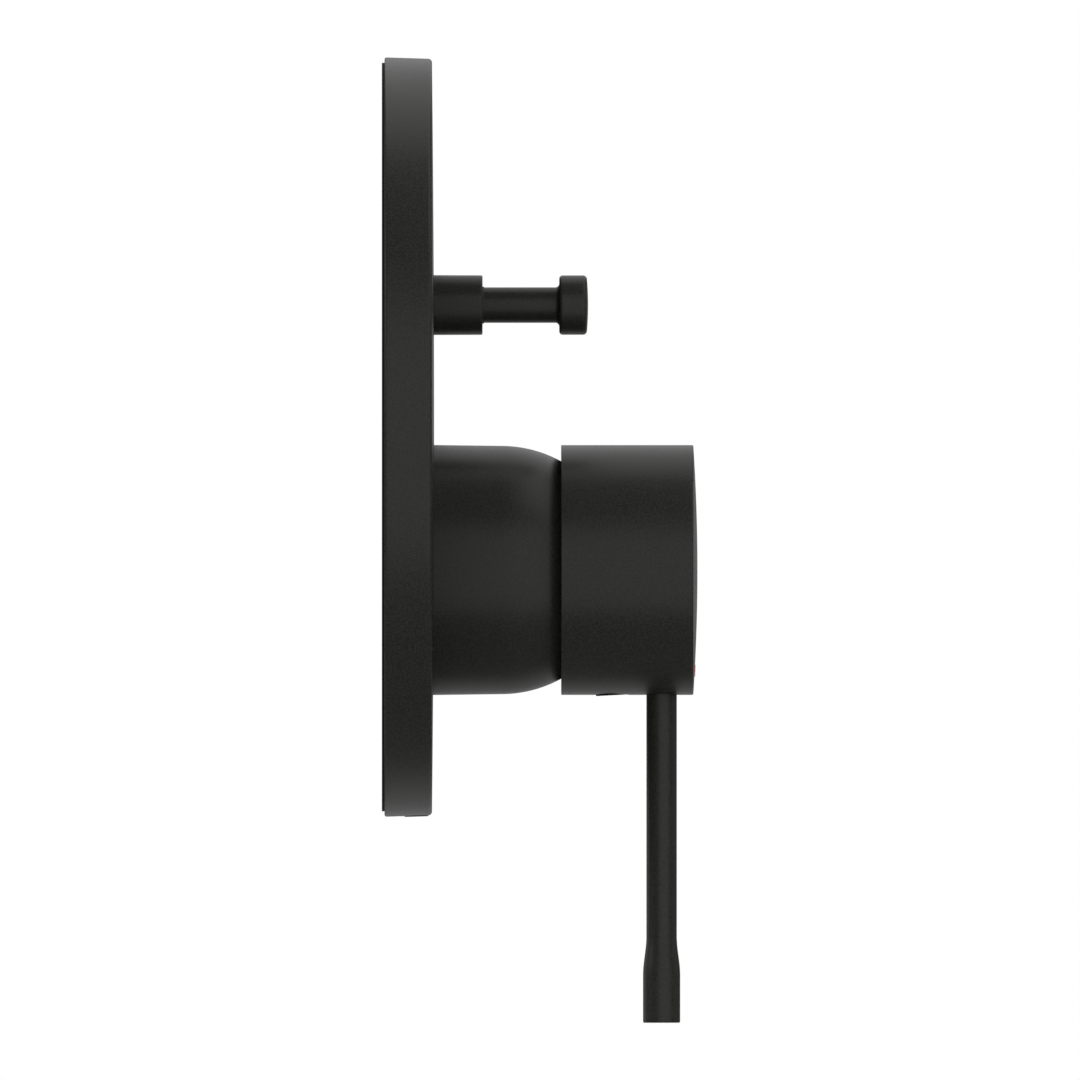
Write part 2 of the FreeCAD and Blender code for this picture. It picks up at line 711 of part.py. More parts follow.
def make_port_seals():
    """Face seals at the four ports in the valve body's back."""
    rise = "mixer_drop + diverter_rise"
    squeeze = "port_seal_clearance"
    front = "port_groove_depth - " + squeeze
    rings = []
    places = [("%d * inlet_offset" % side, "-inlet_drop", "inlet_radius + seal_bore_gap",
               "port_groove_radius")
              for side in (-1, 1)]
    places.append(("bath_port_offset", rise, "bath_port_radius", "bath_groove_radius"))
    places.append(("0", rise, "chamber_radius + groove_land",
                   "bath_port_offset - bath_groove_radius - 2 * seat_floor"))
    for index, (x, y, inner, outer) in enumerate(places):
        blank = rod("seal_blank_%d" % index, "%s - %s" % (outer, squeeze), "0", front, x, y)
        hole = rod("seal_hole_%d" % index, "%s + %s" % (inner, squeeze), "-seat_floor",
                   "2 * port_groove_depth", x, y)
        rings.append(without("port_seal_%d" % index, blank, hole))
    group = doc.addObject("Part::Compound", "port_seal_group")
    group.Links = rings
    node("port_seals", group, MIXER)


def make_cartridge_base():
    blank = turned("base_blank", [
        ("0", "body_flange_front"), ("cartridge_radius", "body_flange_front"),
        ("cartridge_radius", "base_front"),
        ("fixed_disc_radius + disc_gap", "base_front"),
        ("fixed_disc_radius + disc_gap", "base_floor"), ("0", "base_floor")])
    pins = [rod("locating_pin_%d" % index, "locating_pin_radius",
                "body_flange_front - locating_pin_length", "body_flange_front + seat_floor",
                "%d * locating_pin_offset" % side, "locating_pin_rise")
            for index, side in enumerate((-1, 1))]
    ports = cartridge_ports("base", "disc_port_radius", "0", "2 * base_front")
    recesses = cartridge_ports("recess", "base_seal_recess_radius", "0",
                               "body_flange_front + base_seal_recess_depth")
    pinned = joined("base_pinned", without("base_ported", blank, *ports, *recesses), *pins)
    node("cartridge_base", pinned, MIXER)


def make_base_seals():
    squeeze = "port_seal_clearance"
    outer = cartridge_ports("base_seal", "base_seal_recess_radius - " + squeeze,
                            "body_flange_front",
                            "body_flange_front + base_seal_recess_depth - disc_gap")
    inner = cartridge_ports("base_seal_hole", "inlet_radius + seal_bore_gap + " + squeeze, "0",
                            "2 * base_front")
    group = doc.addObject("Part::Compound", "base_seal_group")
    group.Links = [without("base_seal_ring_%d" % index, ring_blank, hole)
                   for index, (ring_blank, hole) in enumerate(zip(outer, inner))]
    node("base_seals", group, MIXER)


def make_discs():
    """Two lapped ceramic discs: ports in the fixed one, a blind mixing pocket in the other."""
    disc_front = "base_floor + fixed_disc_thickness"
    fixed = rod("fixed_disc_blank", "fixed_disc_radius", "base_floor", disc_front)
    ports = cartridge_ports("disc", "disc_port_radius", "0", "2 * base_front")
    node("fixed_disc", without("fixed_disc_ported", fixed, *ports), MIXER)
    moving = rod("moving_disc_blank", "moving_disc_radius", "moving_disc_back",
                 "moving_disc_front")
    pocket_front = "moving_disc_back + mixing_pocket_depth"
    pocket = [
        rod("mixing_pocket_top", "disc_port_radius", "0", pocket_front, y="outlet_rise - "
            "disc_port_radius / 2"),
        bar("mixing_pocket_foot", ("-inlet_offset", "inlet_offset"),
            ("disc_port_radius / 2", "disc_port_radius + disc_port_radius"),
            ("0", pocket_front))]
    node("moving_disc", without("moving_disc_pocketed", moving, *pocket), MIXER)
    slider = rod("slider_blank", "disc_carrier_radius", "moving_disc_front",
                 "disc_carrier_front")
    flats = bar("slider_flats", ("-disc_carrier_half_width", "disc_carrier_half_width"),
                ("-2 * disc_carrier_radius", "2 * disc_carrier_radius"),
                ("0", "2 * disc_carrier_front"))
    socket = rod("slider_socket", "ball_radius + ball_clearance", "0",
                 "2 * disc_carrier_front")
    node("disc_carrier", without("slider", shared("slider_flatted", slider, flats), socket),
         MIXER)


def make_cartridge_case():
    shell = turned("case_shell", [
        ("case_inner_radius", "base_front"), ("cartridge_radius", "base_front"),
        ("cartridge_radius", "case_shoulder_depth"), ("case_neck_radius", "case_shoulder_depth"),
        ("case_neck_radius", "case_front"), ("rotor_neck_radius + rotor_gap", "case_front"),
        ("rotor_neck_radius + rotor_gap", "case_ledge_depth"),
        ("case_inner_radius", "case_ledge_depth")])
    rib = bar("stop_rib", ("-stop_rib_half_width", "stop_rib_half_width"),
              ("stop_recess_radius + stop_rib_gap", "case_inner_radius + rotor_gap"),
              ("rotor_pocket_roof + 2 * stop_rib_gap", "case_ledge_depth + rotor_gap"))
    node("cartridge_case", joined("case_with_rib", shell, rib), MIXER)


def make_rotor():
    """The driver that the lever's spindle tilts in. Its lugs guide the disc carrier, and its
    rim is cut away over an arc, where the case's rib stops the turn."""
    shoulder = "case_ledge_depth - rotor_gap"
    blank = turned("rotor_blank", [
        ("0", "rotor_back"), ("rotor_radius", "rotor_back"), ("rotor_radius", shoulder),
        ("rotor_neck_radius", shoulder), ("rotor_neck_radius", "rotor_front"),
        ("0", "rotor_front")])
    sector = doc.addObject("Part::Cylinder", "stop_sector")
    sector.setExpression("Radius", bound("2 * rotor_radius"))
    sector.setExpression("Height", bound("rotor_front - rotor_pocket_roof"))
    sector.setExpression("Angle", bound("2 * stop_recess_angle"))
    start = 90 - size_of("stop_recess_angle")
    stand(sector, z="rotor_pocket_roof", turn=(AROUND_Z, start))
    recess = without("stop_recess", sector,
                     rod("stop_recess_core", "stop_recess_radius", "0", "2 * rotor_front"))
    pin_hole = doc.addObject("Part::Cylinder", "rotor_pin_hole")
    pin_hole.setExpression("Radius", bound("pin_radius + thread_clearance"))
    pin_hole.setExpression("Height", bound("4 * rotor_radius"))
    stand(pin_hole, "-2 * rotor_radius", "0", "pivot_depth", (AROUND_Y, 90))
    half = "disc_carrier_half_width + rotor_gap"
    tools = [
        bar("spindle_slot", ("-rotor_slot_half_width", "rotor_slot_half_width"),
            ("-rotor_slot_low", "rotor_slot_high"), ("0", "2 * rotor_front")),
        bar("slider_pocket", ("-(%s)" % half, half),
            ("-2 * rotor_radius", "2 * rotor_radius"), ("0", "rotor_pocket_roof")),
        recess, pin_hole]
    node("cartridge_rotor", without("rotor", blank, *tools), MIXER)
    pin = doc.addObject("Part::Cylinder", "pin")
    pin.setExpression("Radius", bound("pin_radius"))
    pin.setExpression("Height", bound("2 * pin_half_length"))
    stand(pin, "-pin_half_length", "0", "pivot_depth", (AROUND_Y, 90))
    node("pivot_pin", alone(pin), MIXER)




def make_nut():
    blank = turned("nut_blank", [
        ("nut_skirt_radius", "nut_thread_back"),
        ("cup_thread_radius - disc_gap", "nut_thread_back"),
        ("cup_thread_radius - disc_gap", "nut_head_back"), ("nut_head_radius", "nut_head_back"),
        ("nut_head_radius", "nut_front"), ("nut_bore_radius", "nut_front"),
        ("nut_bore_radius", "case_shoulder_depth + disc_gap"),
        ("nut_skirt_radius", "case_shoulder_depth + disc_gap")])
    slots = [bar("nut_slot_%d" % index, ("-nut_slot_half_width", "nut_slot_half_width"),
                 ("cup_thread_radius - 2 * disc_gap", "2 * nut_head_radius"),
                 ("nut_front - nut_slot_depth", "2 * nut_front"), 60 * index)
             for index in range(6)]
    node("cartridge_nut", without("nut", blank, *slots), MIXER)


def make_stop_ring():
    blank = ring("stop_ring_blank", "rotor_neck_radius + thread_clearance", "stop_ring_radius",
                 "stop_ring_back", "stop_ring_front")
    teeth = [bar("stop_tooth_%d" % index, ("-stop_rib_half_width", "stop_rib_half_width"),
                 ("stop_ring_radius - stop_rib_half_width",
                  "stop_ring_radius + stop_tooth_length"),
                 ("stop_ring_back", "stop_ring_front"), 45 + 270 * index)
             for index in range(2)]
    node("stop_ring", joined("toothed_ring", blank, *teeth), MIXER)


def make_sleeve():
    """The visible sleeve: nearly straight, then a ball nose about the lever's pivot."""
    mouth = ("nose_radius * sin(mouth_angle)", "pivot_depth + nose_radius * cos(mouth_angle)")
    inner_mouth = ("nose_inner_radius * sin(mouth_angle)",
                   "pivot_depth + nose_inner_radius * cos(mouth_angle)")
    shell = turned("sleeve_shell", [
        ("sleeve_inner_radius", "sleeve_back"), ("sleeve_back_radius", "sleeve_back"),
        ("nose_radius", "pivot_depth"), mouth, inner_mouth,
        ("nose_inner_radius", "pivot_depth")],
        {2: ("depth", "pivot_depth"), 4: ("depth", "pivot_depth")})
    node("sleeve", shell, MIXER)
    seal = doc.addObject("Part::Torus", "sleeve_seal_ring")
    seal.setExpression("Radius1", bound("cup_seal_groove_radius + sleeve_seal_section"
                                        " + sleeve_seal_squeeze"))
    seal.setExpression("Radius2", bound("sleeve_seal_section"))
    stand(seal, z="cup_seal_depth")
    node("sleeve_seal", alone(seal), MIXER)
    node("plate_ring", ring("plate_ring_blank", "sleeve_back_radius + sleeve_seal_squeeze",
                            "sleeve_back_radius + plate_ring_wall",
                            "plate_face_back - seal_clearance - plate_ring_thickness",
                            "plate_face_back - seal_clearance"), MIXER)


def make_spindle():
    """The lever of the cartridge: a square shaft, a pin hole, and a ball that moves the disc."""
    half = "spindle_half_width"
    shaft = bar("spindle_shaft", ("-" + half, half), ("-" + half, half),
                ("spindle_back", "spindle_front"))
    neck = rod("spindle_neck", "ball_neck_radius", "ball_depth", "spindle_back + ball_clearance")
    ball = doc.addObject("Part::Sphere", "spindle_ball")
    ball.setExpression("Radius", bound("ball_radius"))
    stand(ball, z="ball_depth")
    hole = doc.addObject("Part::Cylinder", "spindle_pin_hole")
    hole.setExpression("Radius", bound("pin_radius + pin_running_clearance"))
    hole.setExpression("Height", bound("4 * spindle_half_width"))
    stand(hole, "-2 * spindle_half_width", "0", "pivot_depth", (AROUND_Y, 90))
    node("lever_spindle", without("spindle", joined("spindle_blank", shaft, neck, ball), hole),
         MIXER)


def mark_tool(name, start):
    """A curved bar let into the cap's face, from one angle round by the mark's sweep."""
    outer = doc.addObject("Part::Cylinder", name + "_outer")
    outer.setExpression("Radius", bound("mark_outer_radius"))
    outer.setExpression("Angle", bound("mark_sweep"))
    outer.setExpression("Height", bound("2 * cap_dome + mark_thickness"))
    stand(outer, z="cap_rim_depth - mark_thickness", turn=(AROUND_Z, start))
    inner = rod(name + "_inner", "mark_inner_radius", "0", "2 * cap_rim_depth")
    return without(name, outer, inner)


def cap_outline(name):
    """The handle's closed outer form: a short drum with a slightly domed face."""
    return turned(name, [
        ("0", "cap_back"), ("cap_radius", "cap_back"), ("cap_radius", "cap_rim_depth"),
        ("0", "cap_rim_depth + cap_dome")], {2: ("radius", "0")},
        {1: "cap_back_rounding", 2: "cap_front_rounding"})


def make_handle():
    """The cap is hollow: a hub for the spindle, bosses for the lever and its screw, and ribs."""
    screw_tilt = "handle_screw_tilt"
    bottom = size_of("270 - mark_gap_angle")
    marks = {"hot_mark": bottom - size_of("mark_sweep"),
             "cold_mark": size_of("270 + mark_gap_angle")}
    hollow = rod("cap_hollow", "cap_inner_radius", "0", "cap_face_back")
    shell = without("cap_shell", cap_outline("cap_blank"), hollow)
    hub_front = "cap_face_back + thread_clearance"
    inside = [
        rod("hub", "hub_radius", "hub_back", hub_front),
        drop_rod("lever_boss", "lever_boss_radius", "hub_radius / 2",
                 "cap_radius - cap_wall / 2 - hub_radius / 2", "lever_depth"),
        drop_rod("screw_boss", "handle_screw_boss_radius", "hub_radius / 2",
                 "handle_screw_boss_reach - hub_radius / 2",
                 "handle_screw_depth - (cap_radius - hub_radius / 2) * tan(handle_screw_tilt)",
                 screw_tilt)]
    inside += [bar("hub_rib_%d" % index, ("-hub_rib_half_width", "hub_rib_half_width"),
                   ("hub_radius / 2", "cap_radius - cap_wall / 2"),
                   ("hub_rib_back", hub_front), 60 * (index - 1)) for index in range(3)]
    shank = "lever_radius + thread_clearance"
    socket = "spindle_socket"
    tools = [
        bar("spindle_hole", ("-" + socket, socket), ("-" + socket, socket),
            ("0", "spindle_front + socket_clearance")),
        drop_rod("lever_hole", shank, "lever_shoulder - thread_clearance", "2 * cap_radius",
                 "lever_depth"),
        drop_rod("lever_thread", "lever_stud_radius + thread_clearance",
                 "lever_stud_top - thread_clearance", "cap_radius", "lever_depth"),
        drop_rod("handle_screw_hole", "handle_screw_radius + thread_clearance", "0",
                 "handle_screw_boss_reach + seat_floor",
                 "handle_screw_depth - cap_radius * tan(handle_screw_tilt)", screw_tilt),
        drop_rod("plug_hole", "plug_radius + plug_clearance", "handle_screw_boss_reach",
                 "cap_radius",
                 "handle_screw_depth - (cap_radius - handle_screw_boss_reach)"
                 " * tan(handle_screw_tilt)", screw_tilt)]
    tools += [mark_tool(name + "_recess", start) for name, start in marks.items()]
    cap = without("cap", joined("cap_with_hub", shell, *inside), *tools)
    node("handle_cap", cap, MIXER)
    for name, start in marks.items():
        inlay = shared(name + "_inlay", cap_outline(name + "_blank"), mark_tool(name + "_bar",
                                                                                start))
        node(name, inlay, MIXER)


def make_lever():
    """A turned rod that hangs from the cap, with a stud at its top and a flared tip."""
    middle = ("(lever_radius + flare_radius) / 2", "(flare_start + flare_end) / 2")
    rod_body = turned("lever_turning", [
        ("0", "lever_stud_top"), ("lever_stud_radius", "lever_stud_top"),
        ("lever_stud_radius", "lever_shoulder"), ("lever_radius", "lever_shoulder"),
        ("lever_radius", "flare_start"), middle, ("flare_radius", "flare_end"),
        ("flare_radius", "lever_end"), ("0", "lever_end")],
        {4: ("depth", "flare_start"), 5: ("depth", "flare_end")}, {7: "lever_end_rounding"})
    hung = stand(alone(rod_body), z="lever_depth", turn=(AROUND_X, 90))
    node("lever_rod", alone(hung), MIXER)


def make_handle_screw():
    """A grub screw that grips the spindle, and the plug that covers its hole in the cap."""
    tilt = "handle_screw_tilt"
    tip = "spindle_socket + seal_clearance"
    screw = drop_rod("grub_blank", "handle_screw_radius", tip, "handle_screw_length",
                     "handle_screw_depth - (cap_radius - (%s)) * tan(handle_screw_tilt)" % tip,
                     tilt)
    key = doc.addObject("Part::Prism", "grub_key")
    key.Polygon = 6
    key.setExpression("Circumradius", bound("hex_key_radius"))
    key.setExpression("Height", bound("2 * hex_key_radius"))
    key_top = "%s + handle_screw_length - 1.5 * hex_key_radius" % tip
    stand(key, "0", "-(%s)" % key_top,
          "handle_screw_depth - (cap_radius - (%s)) * tan(handle_screw_tilt)" % key_top,
          (AROUND_X, 90 - size_of(tilt)))
    node("handle_screw", without("grub_screw", screw, key), MIXER)
    plug_top = "cap_radius + plug_proud - plug_length"
    plug = drop_rod("plug_blank", "plug_radius", plug_top, "plug_length",
                    "handle_screw_depth - (cap_radius - (%s)) * tan(handle_screw_tilt)"
                    % plug_top, tilt)
    node("screw_plug", alone(plug), MIXER)


def make_collar():
    """The diverter's collar, a drilled brass barrel inside it, and their seals."""
    tube = turned("collar_tube", [
        ("collar_bore_radius", "body_boss_front"), ("collar_back_radius", "body_boss_front"),
        ("collar_front_radius", "collar_front"), ("collar_bore_radius", "collar_front")],
        rounds={2: "collar_rounding"})
    node("collar", tube, DIVERTER)
    barrel_outer = "chamber_radius - barrel_thread_clearance"
    lip = "diverter_stem_radius + diverter_stem_clearance"
    barrel = turned("barrel_blank", [
        ("barrel_bore_radius", "barrel_back"), (barrel_outer, "barrel_back"),
        (barrel_outer, "body_boss_front"), ("barrel_snout_radius", "body_boss_front"),
        ("barrel_snout_radius", "barrel_front"), (lip, "barrel_front"),
        (lip, "barrel_lip_depth"), ("barrel_bore_radius", "barrel_lip_depth")])
    window = bar("barrel_window", ("-2 * chamber_radius", "2 * chamber_radius"),
                 ("-window_half_height", "window_half_height"), ("window_back", "window_front"))
    node("diverter_barrel", without("barrel", barrel, window), DIVERTER)
    node("stem_seal", ring("stem_seal_ring", "diverter_stem_radius + thread_clearance",
                           "barrel_bore_radius - thread_clearance",
                           "window_front + seal_clearance",
                           "barrel_lip_depth - thread_clearance"), DIVERTER)
    node("collar_seal", ring("collar_seal_ring", "collar_back_radius + thread_clearance",
                             "collar_back_radius + collar_seal_wall", "body_boss_front",
                             "body_boss_front + collar_seal_thickness"), DIVERTER)
    bush_bore = "neck_radius + bush_running_clearance"
    node("diverter_bush", turned("bush_turning", [
        (bush_bore, "bush_back"), ("collar_bush_radius", "bush_back"),
        ("collar_bush_radius", "collar_front"), ("bush_lip_radius", "collar_front"),
        ("bush_lip_radius", "collar_front + bush_lip"), (bush_bore, "collar_front + bush_lip")]),
        DIVERTER)


def make_knob():
    """The knob and its neck are one turned piece, with a clip groove near its tail."""
    groove = "neck_radius - clip_groove_depth"
    clip_front = "clip_back + clip_thickness"
    play = "thread_clearance"
    stem_hole = "diverter_stem_radius + " + play
    knob = turned("knob_turning", [
        (stem_hole, "neck_back"), ("neck_radius", "neck_back"),
        ("neck_radius", "clip_back - " + play), (groove, "clip_back - " + play),
        (groove, "%s + %s" % (clip_front, play)), ("neck_radius", "%s + %s" % (clip_front, play)),
        ("neck_radius", "knob_back - neck_flare"), ("neck_radius + neck_flare", "knob_back"),
        ("knob_radius", "knob_back"), ("knob_radius", "knob_rim_depth"),
        ("0", "knob_rim_depth + knob_dome"), ("0", "stem_front + " + play),
        (stem_hole, "stem_front + " + play)],
        {6: ("depth", "knob_back - neck_flare"), 9: ("radius", "0")},
        {8: "knob_back_rounding", 9: "knob_front_rounding"})
    node("diverter_knob", knob, DIVERTER)
    clip = ring("clip_ring", groove + " + " + play, "clip_radius", "clip_back", clip_front)
    gap = bar("clip_gap", ("-clip_gap_half_width", "clip_gap_half_width"),
              ("0", "2 * clip_radius"), ("0", "2 * clip_back"))
    node("neck_clip", without("clip", clip, gap), DIVERTER)


def make_diverter_stem():
    tail = "washer_back - tail_clip_thickness - thread_clearance"
    flange_front = "washer_front + stem_flange_thickness"
    node("diverter_stem", turned("stem_turning", [
        ("0", tail), ("stem_tail_radius", tail), ("stem_tail_radius", "washer_front"),
        ("stem_flange_radius", "washer_front"), ("stem_flange_radius", flange_front),
        ("diverter_stem_radius", flange_front), ("diverter_stem_radius", "stem_front"),
        ("0", "stem_front")]), DIVERTER)
    node("diverter_washer", ring("washer_ring", "stem_tail_radius + thread_clearance",
                                 "washer_radius", "washer_back", "washer_front"), DIVERTER)
    node("tail_clip", ring("tail_clip_ring", "stem_tail_radius + thread_clearance",
                           "tail_clip_radius", "washer_back - tail_clip_thickness",
                           "washer_back"), DIVERTER)


def make_spring():
    """A light return spring between the neck's clip and the back of the bush. Each half turn is
    half a ring, tipped so that its end meets the start of the next one in line."""
    back = "clip_back + clip_thickness + spring_wire_radius + thread_clearance"
    front = "bush_back - spring_wire_radius - thread_clearance"
    half_pitch = "(%s - (%s)) / spring_half_turns" % (front, back)
    ring_radius = "sqrt(spring_coil_radius ^ 2 + (%s / 2) ^ 2)" % half_pitch
    tip = math.degrees(math.asin(size_of(half_pitch) / 2 / size_of(ring_radius)))
    halves = []
    for index in range(round(size_of("spring_half_turns"))):
        half = doc.addObject("Part::Torus", "spring_half_%d" % index)
        half.setExpression("Radius1", bound(ring_radius))
        half.setExpression("Radius2", bound("spring_wire_radius"))
        half.Angle3 = 180
        turn = FreeCAD.Rotation(AROUND_Z, 180 * (index % 2)) * FreeCAD.Rotation(AROUND_Y, tip)
        half.Placement = FreeCAD.Placement(FreeCAD.Vector(), turn)
        half.setExpression("Placement.Base.z",
                           bound("%s + %s * (%d + 0.5)" % (back, half_pitch, index)))
        halves.append(half)
    node("diverter_spring", joined("spring_coil", *halves), DIVERTER)


def write_pieces():
    """Recompute, refuse anything broken, and write one STEP file for each piece."""
    doc.recompute()
    for thing in doc.Objects:
        faults = [state for state in thing.State if state in ("Invalid", "Error")]
        if faults:
            raise RuntimeError("%s is %s" % (thing.Name, faults))
    for name, thing in sorted(NODES.items()):
        shape = thing.Shape
        if shape.isNull() or not shape.isValid() or not shape.Solids:
            raise RuntimeError("%s has no valid solid" % name)
        shape.exportStep("parts/%s.step" % name)
        box = shape.BoundBox
        print("%-18s solids %d volume %9.1f  y %7.2f %7.2f  z %7.2f %7.2f" % (
            name, len(shape.Solids), shape.Volume, box.YMin, box.YMax, box.ZMin, box.ZMax))


make_wall_seal()
make_escutcheon()
make_rim_screw()
make_carrier()
make_body_screws()
make_valve_body()
make_port_seals()
make_cartridge_base()
make_base_seals()
make_discs()
make_cartridge_case()
make_rotor()
make_nut()
make_stop_ring()
make_sleeve()
make_spindle()
make_handle()
make_lever()
make_handle_screw()
make_collar()
make_knob()
make_diverter_stem()
make_spring()
write_pieces()
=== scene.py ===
# %% [markdown]
# # A shower mixer trim with a pull diverter
#
# The real object is the part of a built-in shower mixer that shows on the tiles: a round plate, a
# ball-nosed sleeve with a cap and a pin lever that turns and tilts, and a small knob above it that is
# pulled out to send the water to the bath. All of it wears one satin black coating. This lesson
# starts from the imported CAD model, builds the visible turned pieces again as smooth meshes, gives
# every piece a finish of its own, and ends with the same pieces on the same moving bodies.

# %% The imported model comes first
import json
import math

import bmesh
import bpy
from mathutils import Matrix, Vector


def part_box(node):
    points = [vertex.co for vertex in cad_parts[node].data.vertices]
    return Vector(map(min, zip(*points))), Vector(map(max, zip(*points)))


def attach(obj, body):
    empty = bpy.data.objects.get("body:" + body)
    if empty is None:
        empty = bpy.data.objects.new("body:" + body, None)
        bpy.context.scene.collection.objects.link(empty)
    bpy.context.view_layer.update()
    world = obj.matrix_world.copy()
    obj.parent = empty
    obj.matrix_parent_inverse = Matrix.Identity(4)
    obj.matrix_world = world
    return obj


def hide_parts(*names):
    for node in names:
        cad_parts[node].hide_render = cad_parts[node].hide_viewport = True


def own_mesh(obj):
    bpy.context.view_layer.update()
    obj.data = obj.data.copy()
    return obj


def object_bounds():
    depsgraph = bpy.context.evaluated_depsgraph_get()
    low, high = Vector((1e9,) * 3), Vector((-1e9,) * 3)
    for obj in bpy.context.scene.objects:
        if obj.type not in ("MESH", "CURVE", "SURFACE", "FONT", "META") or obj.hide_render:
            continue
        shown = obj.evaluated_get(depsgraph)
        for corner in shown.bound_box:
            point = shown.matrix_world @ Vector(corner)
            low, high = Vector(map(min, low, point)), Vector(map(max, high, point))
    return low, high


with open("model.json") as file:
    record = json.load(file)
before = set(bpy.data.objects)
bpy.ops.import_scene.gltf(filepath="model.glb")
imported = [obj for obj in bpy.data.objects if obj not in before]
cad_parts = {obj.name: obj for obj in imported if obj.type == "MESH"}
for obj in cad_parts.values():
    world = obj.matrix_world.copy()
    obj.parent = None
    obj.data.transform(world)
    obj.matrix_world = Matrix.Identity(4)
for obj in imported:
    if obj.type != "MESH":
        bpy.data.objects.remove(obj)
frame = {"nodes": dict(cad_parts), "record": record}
cad_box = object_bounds()

# %% [markdown]
# Sizes are written in millimetres, as on a drawing, and Blender works in metres. The two axes of the
# object, the mixer's and the diverter's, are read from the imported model, so a piece goes where the
# CAD has it. Every turned piece is first made about its own Z axis and then laid into place by one of
# three ways: out of the wall, straight down, or down with a small lean.

# %% Units, axes and ways of placing
MM = 0.001


def middle_height(node):
    low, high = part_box(node)
    return (low.z + high.z) / 2


MIXER = middle_height("sleeve")
DIVERTER = middle_height("collar")


def out_of_wall(height):
    return Matrix.Translation((0, 0, height)) @ Matrix.Rotation(math.radians(90), 4, "X")


def hanging(depth, lean=0.0, height=MIXER):
    turn = Matrix.Rotation(math.radians(180 - lean), 4, "X")
    return Matrix.Translation((0, -depth * MM, height)) @ turn


print("mixer axis %.2f mm, diverter axis %.2f mm" % (MIXER / MM, DIVERTER / MM))

# %% [markdown]
# The photograph is a square-on side view without perspective, so the camera is orthographic and looks
# along +X: the wall is on the left and the knob and the cap point to the right. Only its scale and its
# centre have to be right. The scale follows from the plate's size in the picture, and the centre from
# the column where the wall is and the row of the plate's middle.

# %% Camera
PHOTO_SIDE = 1080
PIXELS_PER_MM = 4.8067
WALL_COLUMN = 381.85
PLATE_ROW = 437.07
CAMERA_AWAY = 1.0
NEAREST, FARTHEST = 0.01, 50

view_width = PHOTO_SIDE / PIXELS_PER_MM * MM
camera_data = bpy.data.cameras.new("side camera")
camera_data.type = "ORTHO"
camera_data.ortho_scale = view_width
camera_data.clip_start, camera_data.clip_end = NEAREST, FARTHEST
camera = bpy.data.objects.new("side camera", camera_data)
bpy.context.scene.collection.objects.link(camera)
camera.location = (-CAMERA_AWAY,
                   -(PHOTO_SIDE / 2 - WALL_COLUMN) / PIXELS_PER_MM * MM,
                   -(PHOTO_SIDE / 2 - PLATE_ROW) / PIXELS_PER_MM * MM)
camera.rotation_euler = (math.radians(90), 0, math.radians(-90))
bpy.context.scene.camera = camera
bpy.context.scene.view_settings.view_transform = "Standard"
print("camera sees %.1f mm" % (view_width / MM))

# %% [markdown]
# Node trees are easier to read as sums than as wires. One small class wraps a socket, so that
# `1 - mask * 0.3` adds its Math nodes by itself. Every other node comes from one method: it takes the
# node's type, its settings, which are set first, and the values or links of its sockets.

# %% Writing node trees as expressions
class Socket:
    """One output socket. Sums with it add Math nodes to its tree."""

    def __init__(self, tree, end):
        self.tree, self.end = tree, end

    def maths(self, operation, *terms):
        return self.tree.add("ShaderNodeMath", {"operation": operation},
                             dict(enumerate(terms)))["Value"]

    def __add__(self, other):
        return self.maths("ADD", self, other)

    __radd__ = __add__

    def __sub__(self, other):
        return self.maths("SUBTRACT", self, other)

    def __rsub__(self, other):
        return self.maths("SUBTRACT", other, self)

    def __mul__(self, other):
        return self.maths("MULTIPLY", self, other)

    __rmul__ = __mul__

    def __truediv__(self, other):
        return self.maths("DIVIDE", self, other)

    def __pow__(self, other):
        return self.maths("POWER", self, other)


class Made:
    """A node that was made. Its outputs are read by name or number."""

    def __init__(self, tree, node):
        self.tree, self.node = tree, node

    def __getitem__(self, name):
        return Socket(self.tree, self.node.outputs[name])


class Tree:
    """A node tree that is written in Python."""

    def __init__(self, tree):
        self.tree = tree

    def add(self, kind, settings=None, sockets=None):
        """A new node. Its sockets are given by name or number, as a value or a link."""
        node = self.tree.nodes.new(kind)
        for name, value in (settings or {}).items():
            setattr(node, name, value)
        for name, value in (sockets or {}).items():
            if isinstance(value, Socket):
                self.tree.links.new(value.end, node.inputs[name])
            else:
                node.inputs[name].default_value = value
        return Made(self, node)


print("node helpers ready")

# %% [markdown]
# Light first, because a black object is drawn almost only by what it reflects. The photograph has a
# pure white ground, but the coating mirrors a dim studio with a few soft cards in it. So one plain
# world has three levels, and Light Path tells the rays apart: white to the eye, an even level for
# soft light, and nearly dark for reflections. The lamps further down are the cards.

# %% World
SURROUND_LEVEL = 0.75
REFLECTED_LEVEL = 0.12

world = bpy.data.worlds.new("studio")
bpy.context.scene.world = world
world.use_nodes = True
world.node_tree.nodes.clear()
sky = Tree(world.node_tree)


def seen_directly(tree):
    """1 on rays that look or pass through, and 0 on rays that reflect or gather soft light."""
    path = tree.add("ShaderNodeLightPath")
    return path["Is Camera Ray"].maths("MAXIMUM", path["Is Camera Ray"],
                                       path["Is Transmission Ray"])


reflects = sky.add("ShaderNodeLightPath")["Is Glossy Ray"]
soft_level = SURROUND_LEVEL - reflects * (SURROUND_LEVEL - REFLECTED_LEVEL)
level = soft_level.maths("MAXIMUM", soft_level, seen_directly(sky))
surround = sky.add("ShaderNodeBackground", {}, {"Color": (1, 1, 1, 1), "Strength": level})
sky.add("ShaderNodeOutputWorld", {}, {"Surface": surround["Background"]})
print("world: 1 to the eye, %.2f to soft light, %.2f to gloss" % (SURROUND_LEVEL, REFLECTED_LEVEL))

# %% [markdown]
# The valve hangs on a wall, and the photograph shows no floor at all. The pale floor is a very large
# disc well below the lever. Seen from the side it is edge-on and out of the picture; from other
# angles it is a quiet ground without a horizon that still takes the object's shadow. It is mostly
# white to the eye, and neither gloss nor the card under it is hindered by it.

